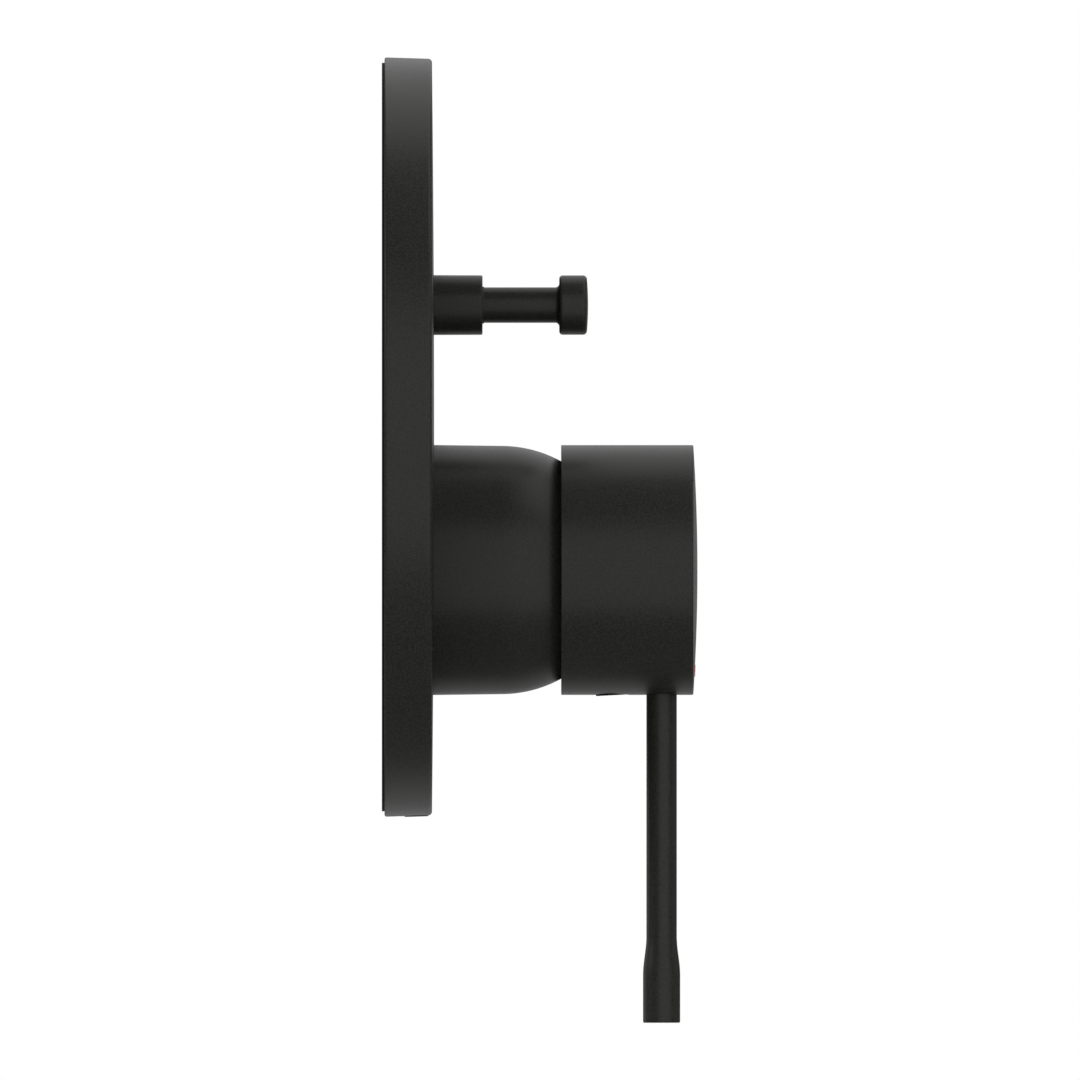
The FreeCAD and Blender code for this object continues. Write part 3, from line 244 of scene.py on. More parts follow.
# %% Floor
FLOOR_RADIUS = 8.0
FLOOR_GAP = 0.06
FLOOR_GLOW = 0.85
FLOOR_TONE = (0.9, 0.9, 0.9, 1)

floor_mesh = bpy.data.meshes.new("floor")
disc = bmesh.new()
bmesh.ops.create_circle(disc, cap_ends=True, segments=64, radius=FLOOR_RADIUS)
bmesh.ops.translate(disc, verts=disc.verts, vec=(0, 0, cad_box[0].z - FLOOR_GAP))
disc.to_mesh(floor_mesh)
disc.free()
floor = bpy.data.objects.new("floor", floor_mesh)
bpy.context.scene.collection.objects.link(floor)

floor_finish = bpy.data.materials.new("pale floor")
floor_finish.use_nodes = True
floor_finish.node_tree.nodes.clear()
ground = Tree(floor_finish.node_tree)
matt = ground.add("ShaderNodeBsdfDiffuse", {}, {"Color": FLOOR_TONE})
white = ground.add("ShaderNodeEmission", {}, {"Color": (1, 1, 1, 1), "Strength": 1.0})
mixed = ground.add("ShaderNodeMixShader", {}, {0: seen_directly(ground) * FLOOR_GLOW,
                                               1: matt["BSDF"], 2: white["Emission"]})
ground.add("ShaderNodeOutputMaterial", {}, {"Surface": mixed["Shader"]})
floor_mesh.materials.append(floor_finish)
floor.visible_glossy = False
floor.visible_shadow = False
print("floor %.0f mm below the lever" % (FLOOR_GAP / MM))

# %% [markdown]
# Each card has a task. The large one on the camera's side draws the soft sheen along the middle of
# every round form. The high and the low card lie just past the object, where only the upper and lower
# flanks mirror them, and the far and the wall-side card draw the thin edges. The upper front and the
# front card light the faces that look into the room, and the last one lights the back. Each has its
# place, its two sides and how bright its face is. Its power follows from that, so a card can be made
# larger without a change of tone.

# %% Soft lamps
LAMPS_AIM_AT = Vector((0, -0.03, -0.02))
LAMPS = {
    "camera side": ((-1.2, -0.45, 0.0), (2.0, 2.2), 0.45),
    "high card": ((0.85, -0.08, 0.98), (1.2, 1.8), 0.62),
    "far card": ((1.4, -0.15, -0.06), (0.8, 0.9), 0.31),
    "wall side": ((0.9, 1.0, 0.0), (0.8, 1.2), 0.34),
    "low card": ((1.05, -0.05, -0.76), (1.0, 1.0), 0.245),
    "front card": ((0.35, -1.5, 0.45), (1.0, 1.0), 0.16),
    "upper front": ((-0.15, -0.72, 1.08), (0.9, 0.9), 0.55),
    "behind": ((-0.2, 1.4, 0.6), (1.0, 1.0), 0.75),
}
for name, (place, sides, brightness) in LAMPS.items():
    lamp_data = bpy.data.lights.new(name, "AREA")
    lamp_data.shape = "RECTANGLE"
    lamp_data.size, lamp_data.size_y = sides
    lamp_data.energy = brightness * math.pi * sides[0] * sides[1]
    lamp = bpy.data.objects.new(name, lamp_data)
    bpy.context.scene.collection.objects.link(lamp)
    lamp.location = place
    aim = LAMPS_AIM_AT - Vector(place)
    lamp.rotation_euler = aim.to_track_quat("-Z", "Y").to_euler()
print("lamps:", ", ".join(LAMPS))

# %% [markdown]
# Now the finishes. All of them read Object coordinates, so a pattern stays on its piece when the piece
# moves. A new finish starts as a Principled shader whose constant values sit on its own sockets, and
# only colour, roughness and bump change over the surface.

# %% A new finish
FINISHES = {}


def new_finish(name, **constants):
    material = bpy.data.materials.new(name)
    material.use_nodes = True
    material.node_tree.nodes.clear()
    tree = Tree(material.node_tree)
    words = {word.replace("_", " "): value for word, value in constants.items()}
    shader = tree.add("ShaderNodeBsdfPrincipled", {}, words)
    tree.add("ShaderNodeOutputMaterial", {}, {"Surface": shader["BSDF"]})
    FINISHES[name] = material
    here = tree.add("ShaderNodeTexCoord")["Object"]
    return tree, shader, here


def noise(tree, where, waves, detail, stretch=None):
    """Noise from 0 to 1 at a number of waves for each metre, stretched by three factors."""
    if stretch:
        where = tree.add("ShaderNodeMapping", {}, {"Vector": where, "Scale": stretch})["Vector"]
    return tree.add("ShaderNodeTexNoise", {}, {"Vector": where, "Scale": waves,
                                               "Detail": detail})["Fac"]


def toned(tone, share):
    """The same colour, darker or lighter."""
    return tuple(min(1, part * share) for part in tone)


def blend_colours(tree, share, first, second):
    """A Mix node names its number and colour sockets alike, so they are given by number."""
    return tree.add("ShaderNodeMix", {"data_type": "RGBA"},
                    {0: share, 6: (*first, 1), 7: (*second, 1)})[2]


def dress(tree, shader, colour, roughness, height, lift, strength):
    """Link what varies: a colour, a roughness, and a bump of a certain lift in metres."""
    bump = tree.add("ShaderNodeBump", {}, {"Strength": strength, "Distance": lift,
                                           "Height": height})
    for name, value in (("Base Color", colour), ("Roughness", roughness),
                        ("Normal", bump["Normal"])):
        tree.tree.links.new(value.end, shader.node.inputs[name])


print("finish helpers ready")

# %% [markdown]
# The coating is what nearly all of the picture shows: a satin black with a fine powder grain. The
# grain is a shallow bump just under half a millimetre across. Its colour is painted paler on the crowns
# and darker in the dips, a painted highlight and painted shade that follow the bump. A slower noise lets
# the tone and the gloss drift a little, as a sprayed coat does. Black is never quite neutral: this one
# is a shade warm.

# %% Coating
COATING_TONE = (0.0138, 0.0138, 0.0116)
COATING_ROUGHNESS = 0.36
# Tone shares of the painted shade in the grain's dips and of the painted highlight on its crowns.
SHADED_DIPS, LIT_CROWNS = 0.62, 1.44
GRAIN_WAVES = 2400
# Share of the colour that is this painted shade and highlight; the rest drifts at random.
GRAIN_SHADE_SHARE = 0.65

tree, shader, here = new_finish("black_coating", Specular_IOR_Level=0.50)
powder = noise(tree, here, waves=GRAIN_WAVES, detail=3)
cloud = noise(tree, here, waves=260, detail=2)
drift = noise(tree, here, waves=38, detail=3)
# A smoothed copy of the grain's bump. It paints the crowns paler and the dips darker as painted
# highlight and shade, and it also varies the roughness.
grain_shade_mask = tree.add("ShaderNodeMapRange", {"interpolation_type": "SMOOTHSTEP"},
                   {"Value": powder, "From Min": 0.34, "From Max": 0.66})["Result"]
dress(tree, shader,
      colour=blend_colours(tree, drift * (1 - GRAIN_SHADE_SHARE) + grain_shade_mask * GRAIN_SHADE_SHARE,
                           toned(COATING_TONE, SHADED_DIPS), toned(COATING_TONE, LIT_CROWNS)),
      roughness=COATING_ROUGHNESS + (drift - 0.5) * 0.08 + (grain_shade_mask - 0.5) * 0.06,
      height=powder + cloud * 0.4, lift=2.2e-5, strength=0.75)
print("coating ready, its grain is %.2f mm across" % (1 / GRAIN_WAVES / MM))

# %% [markdown]
# Rubber and plastic are dull and slightly uneven. Rubber gets a fine pitted skin with a paler bloom in
# places, and moulded plastic gets a spark-eroded grain with a faint flow pattern.

# %% Rubbers and plastics
def rubber(name, tone, roughness, gloss):
    tree, shader, here = new_finish(name, Specular_IOR_Level=gloss)
    skin = noise(tree, here, waves=3200, detail=4)
    bloom = noise(tree, here, waves=150, detail=4)
    pale = tuple(part * 1.5 + 0.002 for part in tone)
    dress(tree, shader, colour=blend_colours(tree, bloom ** 2, tone, pale),
          roughness=roughness + (bloom - 0.5) * 0.12, height=skin, lift=1.2e-5, strength=0.5)


def moulded(name, tone, roughness, flow=(1, 1, 1)):
    tree, shader, here = new_finish(name)
    spark = noise(tree, here, waves=2800, detail=2)
    stream = noise(tree, here, waves=90, detail=5, stretch=flow)
    dress(tree, shader, colour=blend_colours(tree, stream, toned(tone, 0.88), toned(tone, 1.08)),
          roughness=roughness + (stream - 0.5) * 0.15, height=spark + stream * 0.3,
          lift=1e-5, strength=0.4)


rubber("seal_rubber", (0.0085, 0.0085, 0.008), 0.75, 0.2)
rubber("plug_rubber", (0.004, 0.004, 0.004), 0.8, 0.1)
moulded("carrier_plastic", (0.10, 0.10, 0.11), 0.5, (1, 1, 6))
moulded("cartridge_plastic", (0.76, 0.76, 0.72), 0.42)
moulded("rotor_plastic", (0.14, 0.23, 0.40), 0.42)
moulded("ring_plastic", (0.70, 0.08, 0.05), 0.42)
moulded("bush_plastic", (0.016, 0.016, 0.016), 0.5)
print("rubbers and plastics ready")

# %% [markdown]
# Turned metal carries the tool's fine rings. They come from noise in one dimension, read along the
# distance from the piece's own axis plus a share of the way along it, so both faces and barrels show
# them. The casting is rough where the sand was. Screws and spring wire get the fine rings as well.

# %% Metals
RING_WAVES = 5200
BARREL_SHARE = 0.73


def rings(tree, here, height):
    """Noise in rings about an axis that points out of the wall."""
    parts = tree.add("ShaderNodeSeparateXYZ", {}, {"Vector": here})
    radius = (parts["X"] ** 2 + (parts["Z"] - height) ** 2) ** 0.5
    along = radius + parts["Y"] * BARREL_SHARE
    return tree.add("ShaderNodeTexNoise", {"noise_dimensions": "1D"},
                    {"W": along, "Scale": RING_WAVES, "Detail": 3})["Fac"]


def turned_metal(name, tone, roughness, height):
    tree, shader, here = new_finish(name, Metallic=1.0)
    cut = rings(tree, here, height)
    stain = noise(tree, here, waves=120, detail=4)
    dress(tree, shader,
          colour=blend_colours(tree, stain * 0.6 + cut * 0.4, toned(tone, 0.8), tone),
          roughness=roughness + (cut - 0.5) * 0.2 + (stain - 0.5) * 0.1, height=cut,
          lift=4e-6, strength=0.6)


def cast_metal(name, tone, roughness):
    tree, shader, here = new_finish(name, Metallic=1.0)
    sand = noise(tree, here, waves=1500, detail=4)
    skin = noise(tree, here, waves=110, detail=4)
    dull = (tone[0] * 0.78, tone[1] * 0.74, tone[2] * 0.7)
    dress(tree, shader, colour=blend_colours(tree, skin, dull, tone),
          roughness=roughness + (sand - 0.5) * 0.2 + (skin - 0.5) * 0.12, height=sand + skin,
          lift=3e-5, strength=0.5)


turned_metal("turned_brass", (0.80, 0.60, 0.30), 0.26, MIXER)
turned_metal("diverter_brass", (0.80, 0.60, 0.30), 0.26, DIVERTER)
turned_metal("screw_steel", (0.64, 0.63, 0.61), 0.30, MIXER)
turned_metal("spring_steel", (0.52, 0.52, 0.51), 0.28, DIVERTER)
cast_metal("casting_brass", (0.74, 0.55, 0.29), 0.44)
print("metals ready")

# %% [markdown]
# The ceramic discs are lapped to a mirror, with the faintest grain of the sintered powder under the
# gloss. The hot and cold marks are enamel run into their recesses: it pools, so its surface dips and
# its tone deepens a little here and there.

# %% Ceramic and enamel
def ceramic(name, tone):
    tree, shader, here = new_finish(name, Coat_Weight=0.3)
    sinter = noise(tree, here, waves=4200, detail=4)
    cast = noise(tree, here, waves=200, detail=3)
    warm = (tone[0], tone[1] * 0.97, tone[2] * 0.92)
    dress(tree, shader, colour=blend_colours(tree, cast * 0.7 + sinter * 0.3, warm, tone),
          roughness=0.1 + sinter * 0.1, height=sinter, lift=1.5e-6, strength=0.4)


def enamel(name, tone):
    tree, shader, here = new_finish(name, Coat_Weight=0.4)
    pool = noise(tree, here, waves=420, detail=3)
    dress(tree, shader, colour=blend_colours(tree, pool, toned(tone, 0.7), tone),
          roughness=0.2 + pool * 0.12, height=pool, lift=2e-5, strength=0.5)


ceramic("disc_ceramic", (0.90, 0.89, 0.85))
enamel("hot_enamel", (0.66, 0.075, 0.012))
enamel("cold_enamel", (0.02, 0.10, 0.50))
print("finishes:", len(FINISHES))

# %% [markdown]
# The hidden pieces keep their CAD meshes, which are exact, and only get their finishes. Each finish is
# found by the record's own material slot. Pieces on the diverter's axis take the brass whose rings
# are centred there.

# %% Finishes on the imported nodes
SLOT_OF = {part["node"]: part["material_slot"] for part in frame["record"]["subparts"]}
BODY_OF = {name: body for body, names in frame["record"]["behaviour"]["bodies"].items()
           for name in names}
FINISH_OF = dict(SLOT_OF, diverter_barrel="diverter_brass", diverter_stem="spring_steel")

for name, node in frame["nodes"].items():
    node.data.materials.clear()
    node.data.materials.append(FINISHES[FINISH_OF[name]])
print("finished nodes:", len(frame["nodes"]))

# %% [markdown]
# Nearly every visible piece is turned: one outline, carried round an axis. That is a rule, so one
# Geometry Nodes tree makes them all. The outline comes in as a chain of points. A grid with one
# column for each step round is bent to shape: each vertex looks up its outline point by number and
# turns it by its column's angle. Doubles along the seam and at the poles are merged. A sweep of less
# than a full turn gives a curved bar, such as the two marks. Every tree starts with its named inputs
# and ends with real geometry in its finish, so both ends are helpers.

# %% The turning tree
WELD = 2e-7


def open_tree(name, inputs):
    """A new Geometry Nodes tree with named inputs, and one output that is called Piece."""
    group = bpy.data.node_groups.new(name, "GeometryNodeTree")
    for label, kind in inputs.items():
        group.interface.new_socket(label, in_out="INPUT", socket_type="NodeSocket" + kind)
    group.interface.new_socket("Finish", in_out="INPUT", socket_type="NodeSocketMaterial")
    group.interface.new_socket("Piece", in_out="OUTPUT", socket_type="NodeSocketGeometry")
    tree = Tree(group)
    return tree, tree.add("NodeGroupInput")


def close_tree(tree, given, geometry):
    """End a tree in real geometry that wears its finish."""
    real = tree.add("GeometryNodeRealizeInstances", {}, {"Geometry": geometry})
    dressed = tree.add("GeometryNodeSetMaterial", {}, {"Geometry": real["Geometry"],
                                                       "Material": given["Finish"]})
    tree.add("NodeGroupOutput", {}, {"Piece": dressed["Geometry"]})
    return tree.tree


def make_turning_tree():
    tree, given = open_tree("turned piece", {"Outline": "Geometry", "Steps round": "Int",
                                             "Start angle": "Float", "Sweep": "Float"})
    count = tree.add("GeometryNodeAttributeDomainSize", {"component": "MESH"},
                     {"Geometry": given["Outline"]})["Point Count"]
    grid = tree.add("GeometryNodeMeshGrid", {}, {"Size X": 1.0, "Size Y": 1.0,
                                                 "Vertices X": given["Steps round"] + 1,
                                                 "Vertices Y": count})["Mesh"]
    number = tree.add("GeometryNodeInputIndex")["Index"]
    column = (number / count).maths("FLOOR", number / count)
    row = number - column * count
    place = tree.add("GeometryNodeInputPosition")["Position"]
    drawn = tree.add("GeometryNodeSampleIndex", {"data_type": "FLOAT_VECTOR"},
                     {"Geometry": given["Outline"], "Value": place, "Index": row})["Value"]
    parts = tree.add("ShaderNodeSeparateXYZ", {}, {"Vector": drawn})
    angle = given["Start angle"] + given["Sweep"] * column / given["Steps round"]
    turned = tree.add("ShaderNodeCombineXYZ", {}, {
        "X": parts["X"] * angle.maths("COSINE", angle),
        "Y": parts["X"] * angle.maths("SINE", angle), "Z": parts["Y"]})["Vector"]
    bent = tree.add("GeometryNodeSetPosition", {}, {"Geometry": grid, "Position": turned})
    whole = tree.add("GeometryNodeMergeByDistance", {}, {"Geometry": bent["Geometry"],
                                                         "Distance": WELD})
    return close_tree(tree, given, whole["Geometry"])


TURNING = make_turning_tree()
print("turning tree:", len(TURNING.nodes), "nodes")

# %% [markdown]
# An outline is a list of corners, each a radius and a depth in millimetres, and a rounding where the
# real corner has one. No corner on a coated piece is truly sharp, and the thin bright line along it
# is what makes the form read. A rounding becomes a small fan of points, and a support point sits
# close on each side of it, so that the flats beside it shade flat.

# %% Outlines
ROUNDING_STEPS = 5
SUPPORT = 0.25


def rounded(corners):
    """Points of a closed outline. A corner is (radius, depth) or (radius, depth, rounding)."""
    points, count = [], len(corners)
    for index, corner in enumerate(corners):
        here = Vector(corner[:2])
        if len(corner) < 3 or not corner[2]:
            points.append(here)
            continue
        before = Vector(corners[index - 1][:2]) - here
        after = Vector(corners[(index + 1) % count][:2]) - here
        reach = corner[2] / math.tan(before.angle(after) / 2)
        start = here + before.normalized() * reach
        end = here + after.normalized() * reach
        bisector = (before.normalized() + after.normalized()).normalized()
        centre = here + bisector * corner[2] / math.sin(before.angle(after) / 2)
        first, last = start - centre, end - centre
        turn = first.angle_signed(last)
        points.append(start + before.normalized() * min(SUPPORT, before.length / 3))
        for step in range(ROUNDING_STEPS + 1):
            spin = Matrix.Rotation(-turn * step / ROUNDING_STEPS, 2)
            points.append(centre + spin @ first)
        points.append(end + after.normalized() * min(SUPPORT, after.length / 3))
    return points + [points[0].copy()]


def dome_depth(radius, rim_radius, rim_depth, rise):
    """How far out a domed face is at a radius. The dome is part of a large ball."""
    ball = (rim_radius ** 2 + rise ** 2) / (2 * rise)
    return rim_depth + rise - ball + math.sqrt(ball ** 2 - radius ** 2)


def dome(rim_radius, rim_depth, rise, steps):
    """Corners of a domed face, from near its rim to the middle."""
    radii = [rim_radius * (1 - step / steps) for step in range(1, steps + 1)]
    return [(radius, dome_depth(radius, rim_radius, rim_depth, rise)) for radius in radii]


print("outline helpers ready")

# %% [markdown]
# Whatever makes a mesh, it is finished in the same two steps. The modifiers' result is baked to a
# plain mesh, so that nothing is live when the piece gets its body. Then doubles are merged, normals
# are made to point outwards, and the mesh is laid in its place while its object stays at the origin.
# Edges sharper than thirty degrees stay crisp.

# %% Baking and settling
CRISP = math.radians(30)


def settle(piece, place=None):
    """Close and orient a mesh, lay it in place, and shade it smooth with crisp corners."""
    shape = bmesh.new()
    shape.from_mesh(piece.data)
    bmesh.ops.remove_doubles(shape, verts=shape.verts, dist=WELD)
    bmesh.ops.dissolve_degenerate(shape, edges=shape.edges, dist=WELD / 2)
    open_edges = [edge for edge in shape.edges if edge.is_boundary]
    if open_edges:
        bmesh.ops.holes_fill(shape, edges=open_edges)
    bmesh.ops.recalc_face_normals(shape, faces=shape.faces)
    if place:
        bmesh.ops.transform(shape, matrix=place, verts=shape.verts)
    for face in shape.faces:
        face.smooth = True
    shape.to_mesh(piece.data)
    shape.free()
    piece.data.set_sharp_from_angle(angle=CRISP)
    return piece


def bake(piece):
    """Turn the evaluated result of a piece's modifiers into its own plain mesh."""
    result = piece.evaluated_get(bpy.context.evaluated_depsgraph_get())
    mesh = bpy.data.meshes.new_from_object(result)
    piece.modifiers.clear()
    piece.data = mesh
    mesh.name = piece.name
    return piece


print("edges above %.0f degrees stay crisp" % math.degrees(CRISP))

# %% [markdown]
# Turning a piece takes three steps with that: the outline becomes a chain of edges, the tree carries
# it round, and the result is baked and settled. A modifier has no names for a tree's inputs, so they
# are set by identifier, before the piece is evaluated for the first time. A smaller piece needs fewer
# steps round to look as smooth.

# %% Turning a piece
WIDE, STEPS_ROUND, NARROW, SMALL, TINY = 256, 160, 96, 64, 48


def grow(piece, group, given):
    """Give a piece a Geometry Nodes tree, and set the tree's inputs by their identifiers."""
    modifier = piece.modifiers.new(group.name, "NODES")
    modifier.node_group = group
    for item in group.interface.items_tree:
        if item.in_out == "INPUT" and item.name in given:
            modifier[item.identifier] = given[item.name]


def turn_piece(name, points, finish, place, steps=STEPS_ROUND, start=0.0, sweep=360.0):
    chain = bpy.data.meshes.new(name)
    chain.from_pydata([(x * MM, y * MM, 0) for x, y in points],
                      [(i, i + 1) for i in range(len(points) - 1)], [])
    piece = bpy.data.objects.new(name, chain)
    bpy.context.scene.collection.objects.link(piece)
    grow(piece, TURNING, {"Steps round": steps, "Start angle": math.radians(start),
                          "Sweep": math.radians(sweep), "Finish": FINISHES[finish]})
    return settle(bake(piece), place)


print("a round piece has", STEPS_ROUND, "steps round, unless it says otherwise")

# %% [markdown]
# Some pieces are more than one turning: bosses and ribs are joined on, and holes are cut. An exact
# Boolean does both, and the tools for it are square bars and plain round rods, as on a bench. They
# wear the coating too, because a cut face takes its finish from the tool.

# %% Joining and cutting
def combine(piece, tools, operation="DIFFERENCE"):
    """Cut tools out of a piece, or join them to it, and remove the tools."""
    for tool in tools:
        modifier = piece.modifiers.new("combine", "BOOLEAN")
        modifier.operation, modifier.solver, modifier.object = operation, "EXACT", tool
    bpy.context.view_layer.update()
    bake(piece)
    for tool in tools:
        bpy.data.objects.remove(tool)
    return settle(piece)


def box(name, across, up, depth, turn=0.0, height=MIXER):
    """A square bar about an axis out of the wall, from one depth to another, in millimetres."""
    shape = bmesh.new()
    bmesh.ops.create_cube(shape, size=1)
    size = Matrix.Diagonal((across[1] - across[0], up[1] - up[0], depth[1] - depth[0], 1))
    middle = Matrix.Translation([(low + high) / 2 for low, high in (across, up, depth)])
    spin = Matrix.Rotation(math.radians(turn), 4, "Z")
    bmesh.ops.transform(shape, matrix=out_of_wall(height) @ Matrix.Scale(MM, 4) @ spin @ middle
                        @ size, verts=shape.verts)
    mesh = bpy.data.meshes.new(name)
    shape.to_mesh(mesh)
    shape.free()
    mesh.materials.append(FINISHES["black_coating"])
    made = bpy.data.objects.new(name, mesh)
    bpy.context.scene.collection.objects.link(made)
    return made


def rod(radius, first, last, place, steps=SMALL):
    """A plain round rod from one depth to another."""
    outline = [(0, first), (radius, first), (radius, last), (0, last), (0, first)]
    return turn_piece("rod", outline, "black_coating", place, steps)


print("tools: bars and rods")

# %% [markdown]
# A finished piece takes the place of its CAD node: it rides on the node's body and hides the node.
# One helper does both.

# %% Standing for a node
def stand_for(piece, node):
    """The piece takes the CAD node's place, on the node's body."""
    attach(piece, BODY_OF[node])
    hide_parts(node)
    print("%-20s %6d faces" % (piece.name, len(piece.data.polygons)))


print("the record has slots for", len(SLOT_OF), "nodes")

# %% [markdown]
# The round plate is a shallow drum, 158 mm across and under 11 mm deep, with a slight draft on its side
# and a face that is domed by less than half a millimetre. Behind the face it is hollow. Two holes
# pass the sleeve and the collar. Inside the bottom rim is a boss, through which the grub screw's hole
# goes. It is square to the drafted side, as a drill would start it.

# %% Plate
PLATE_RADIUS, PLATE_FRONT_RADIUS, PLATE_INNER_RADIUS = 79.0, 78.7, 77.0
PLATE_BACK, PLATE_INSIDE, PLATE_FRONT = 0.55, 8.93, 10.43
PLATE_RISE = 0.44
RIM_BOSS = {"across": (-5.0, 5.0), "up": (-77.6, -71.8), "depth": (2.7, 9.2)}

plate_points = rounded(
    [(PLATE_INNER_RADIUS, PLATE_BACK), (PLATE_RADIUS, PLATE_BACK, 0.45),
     (PLATE_FRONT_RADIUS, PLATE_FRONT, 0.8)]
    + dome(PLATE_FRONT_RADIUS, PLATE_FRONT, PLATE_RISE, 14)
    + [(0, PLATE_INSIDE), (PLATE_INNER_RADIUS, PLATE_INSIDE, 0.3)])
plate = turn_piece("plate", plate_points, "black_coating", out_of_wall(0), WIDE)
combine(plate, [box("rim boss", **RIM_BOSS, height=0)], "UNION")

SLEEVE_HOLE, COLLAR_HOLE, RIM_SCREW_HOLE = 26.17, 6.39, 2.55
THROUGH_PLATE = 20
RIM_SCREW_DEPTH = 7.2
draft = math.atan((PLATE_RADIUS - PLATE_FRONT_RADIUS) / (PLATE_FRONT - PLATE_BACK))
rim_screw_place = hanging(RIM_SCREW_DEPTH - PLATE_RADIUS * math.tan(draft), math.degrees(draft), 0)
combine(plate, [rod(SLEEVE_HOLE, 0, THROUGH_PLATE, out_of_wall(MIXER), 128),
                rod(COLLAR_HOLE, 0, THROUGH_PLATE, out_of_wall(DIVERTER)),
                rod(RIM_SCREW_HOLE, 70, 80, rim_screw_place, TINY)])
stand_for(plate, "escutcheon")

# %% [markdown]
# Between the plate and the wall sits a rubber seal. In the photograph it is the narrow dark strip at
# the left, a little smaller than the plate, with a tongue that reaches up inside the plate's rim.

# %% Wall seal
TONGUE_TOP = 2.4
seal_points = rounded([(74.2, 0, 0.1), (77.87, 0, 0.12), (77.87, PLATE_BACK, 0.06),
                       (76.9, PLATE_BACK), (76.9, TONGUE_TOP, 0.2), (74.9, TONGUE_TOP, 0.2),
                       (74.9, PLATE_BACK), (74.2, PLATE_BACK, 0.1)])
stand_for(turn_piece("rim_seal", seal_points, "seal_rubber", out_of_wall(0), WIDE), "wall_seal")

# %% [markdown]
# The sleeve is almost straight for 19 mm and then closes in as a ball about the point that the lever
# turns on. The ball is what lets the cap tilt over it with an even gap. Its outline is two arcs about
# that point, joined at the mouth by a rounded lip.

# %% Sleeve
PIVOT = 24.85
MOUTH_ANGLE = 41
MOUTH_ROUNDING = 0.35
SLEEVE_BACK = 6.1


def arc(radius, centre_depth, first, last, steps=24):
    """Corners along a circle about a point on the axis, at angles from the axis in degrees."""
    angles = [math.radians(first + (last - first) * step / steps) for step in range(steps + 1)]
    return [(radius * math.sin(a), centre_depth + radius * math.cos(a)) for a in angles]


outer_nose = arc(25.83, PIVOT, 90, MOUTH_ANGLE)
inner_nose = arc(24.27, PIVOT, MOUTH_ANGLE, 90)
outer_nose[-1] = (*outer_nose[-1], MOUTH_ROUNDING)
inner_nose[0] = (*inner_nose[0], MOUTH_ROUNDING)
sleeve_points = rounded([(24.52, SLEEVE_BACK), (26.07, SLEEVE_BACK, 0.2)] + outer_nose + inner_nose)
stand_for(turn_piece("ball_nosed_sleeve", sleeve_points, "black_coating", out_of_wall(MIXER)),
          "sleeve")

# %% [markdown]
# The cap is the piece that took most skill to make. Outside it is a plain short drum with a softly
# domed face. Inside it is hollow, so that it clears the ball nose. The drum alone is one turning.

# %% The cap's drum
CAP_RADIUS, CAP_INNER_RADIUS = 25.99, 24.0
CAP_BACK, CAP_FLOOR, CAP_RIM = 37.3, 62.3, 64.8
CAP_RISE = 0.86
cap = turn_piece("cap", rounded(
    [(CAP_INNER_RADIUS, CAP_BACK, 0.2), (CAP_RADIUS, CAP_BACK, 0.15), (CAP_RADIUS, CAP_RIM, 0.3)]
    + dome(CAP_RADIUS, CAP_RIM, CAP_RISE, 14)
    + [(0, CAP_FLOOR), (CAP_INNER_RADIUS, CAP_FLOOR, 0.6)]), "black_coating", out_of_wall(MIXER))
print("cap's drum:", len(cap.data.polygons), "faces")

# %% [markdown]
# Inside the drum stand a hub that grips the square spindle, a boss for the lever, a boss for the grub
# screw, and three ribs that stiffen the face. The screw's boss leans by three degrees, so a place on
# its line is worked out by a helper. All of them run a little way into the drum's wall or its face
# and into the hub, because a Boolean joins what overlaps better than what only touches.

# %% Inside the cap
IN_FLOOR = CAP_FLOOR + 0.5
SCREW_LEAN = 3.0
SCREW_DEPTH = 47.9
LEVER_DEPTH = 58.2
HUB_RADIUS, LEVER_BOSS_RADIUS, SCREW_BOSS_RADIUS = 7.2, 4.6, 4.0
HUB_BACK, RIB_BACK = 43.5, 55.0
BOSS_START, IN_WALL = 3.6, 24.9
SCREW_BOSS_LENGTH = 7.9
RIB_HALF = 0.8


def screw_place(radius):
    """Where the leaning screw's line is at a distance below the mixer's axis."""
    on_axis = SCREW_DEPTH - CAP_RADIUS * math.tan(math.radians(SCREW_LEAN))
    return hanging(on_axis, SCREW_LEAN) @ Matrix.Translation((0, 0, radius * MM))


hub = turn_piece("hub", rounded([(0, HUB_BACK), (HUB_RADIUS, HUB_BACK, 0.5),
                                 (HUB_RADIUS, IN_FLOOR), (0, IN_FLOOR)]),
                 "black_coating", out_of_wall(MIXER), NARROW)
lever_boss = rod(LEVER_BOSS_RADIUS, BOSS_START, IN_WALL, hanging(LEVER_DEPTH))
screw_boss = turn_piece("boss", rounded([(0, 0), (SCREW_BOSS_RADIUS, 0),
                                         (SCREW_BOSS_RADIUS, SCREW_BOSS_LENGTH, 0.3),
                                         (0, SCREW_BOSS_LENGTH)]),
                        "black_coating", screw_place(BOSS_START), SMALL)
ribs = [box("rib", (-RIB_HALF, RIB_HALF), (BOSS_START, 24.6), (RIB_BACK, IN_FLOOR), turn)
        for turn in (-60, 0, 60)]
combine(cap, [hub, lever_boss, screw_boss] + ribs, "UNION")
print("with hub, bosses and ribs:", len(cap.data.polygons), "faces")

# %% [markdown]
# Last come the cuts. The square hole takes the spindle. Underneath are the lever's hole, wide at the
# wall and narrow in the boss for its stud, and the screw's, which the rubber plug closes. The face
# has two shallow recesses for the marks, and each is a turning with a short sweep.

# %% Holes and recesses in the cap
LEVER_RADIUS = 3.165
THREAD_RADIUS = 2.52
SQUARE_HALF, SQUARE_BACK, SQUARE_END = 3.55, 40.0, 61.05
LEVER_SEAT, STUD_HOLE_START = 18.98, 9.58
PLUG_HOLE, PLUG_HOLE_MOUTH, PLUG_HOLE_START = 3.45, 3.6, 11.5
MARK_SWEEP = 16.0
MARKS = {"hot_mark": 268.0 - MARK_SWEEP, "cold_mark": 272.0}
MARK_INNER, MARK_OUTER, MARK_FLOOR = 20.7, 22.2, 64.3
PAST_FACE = 70

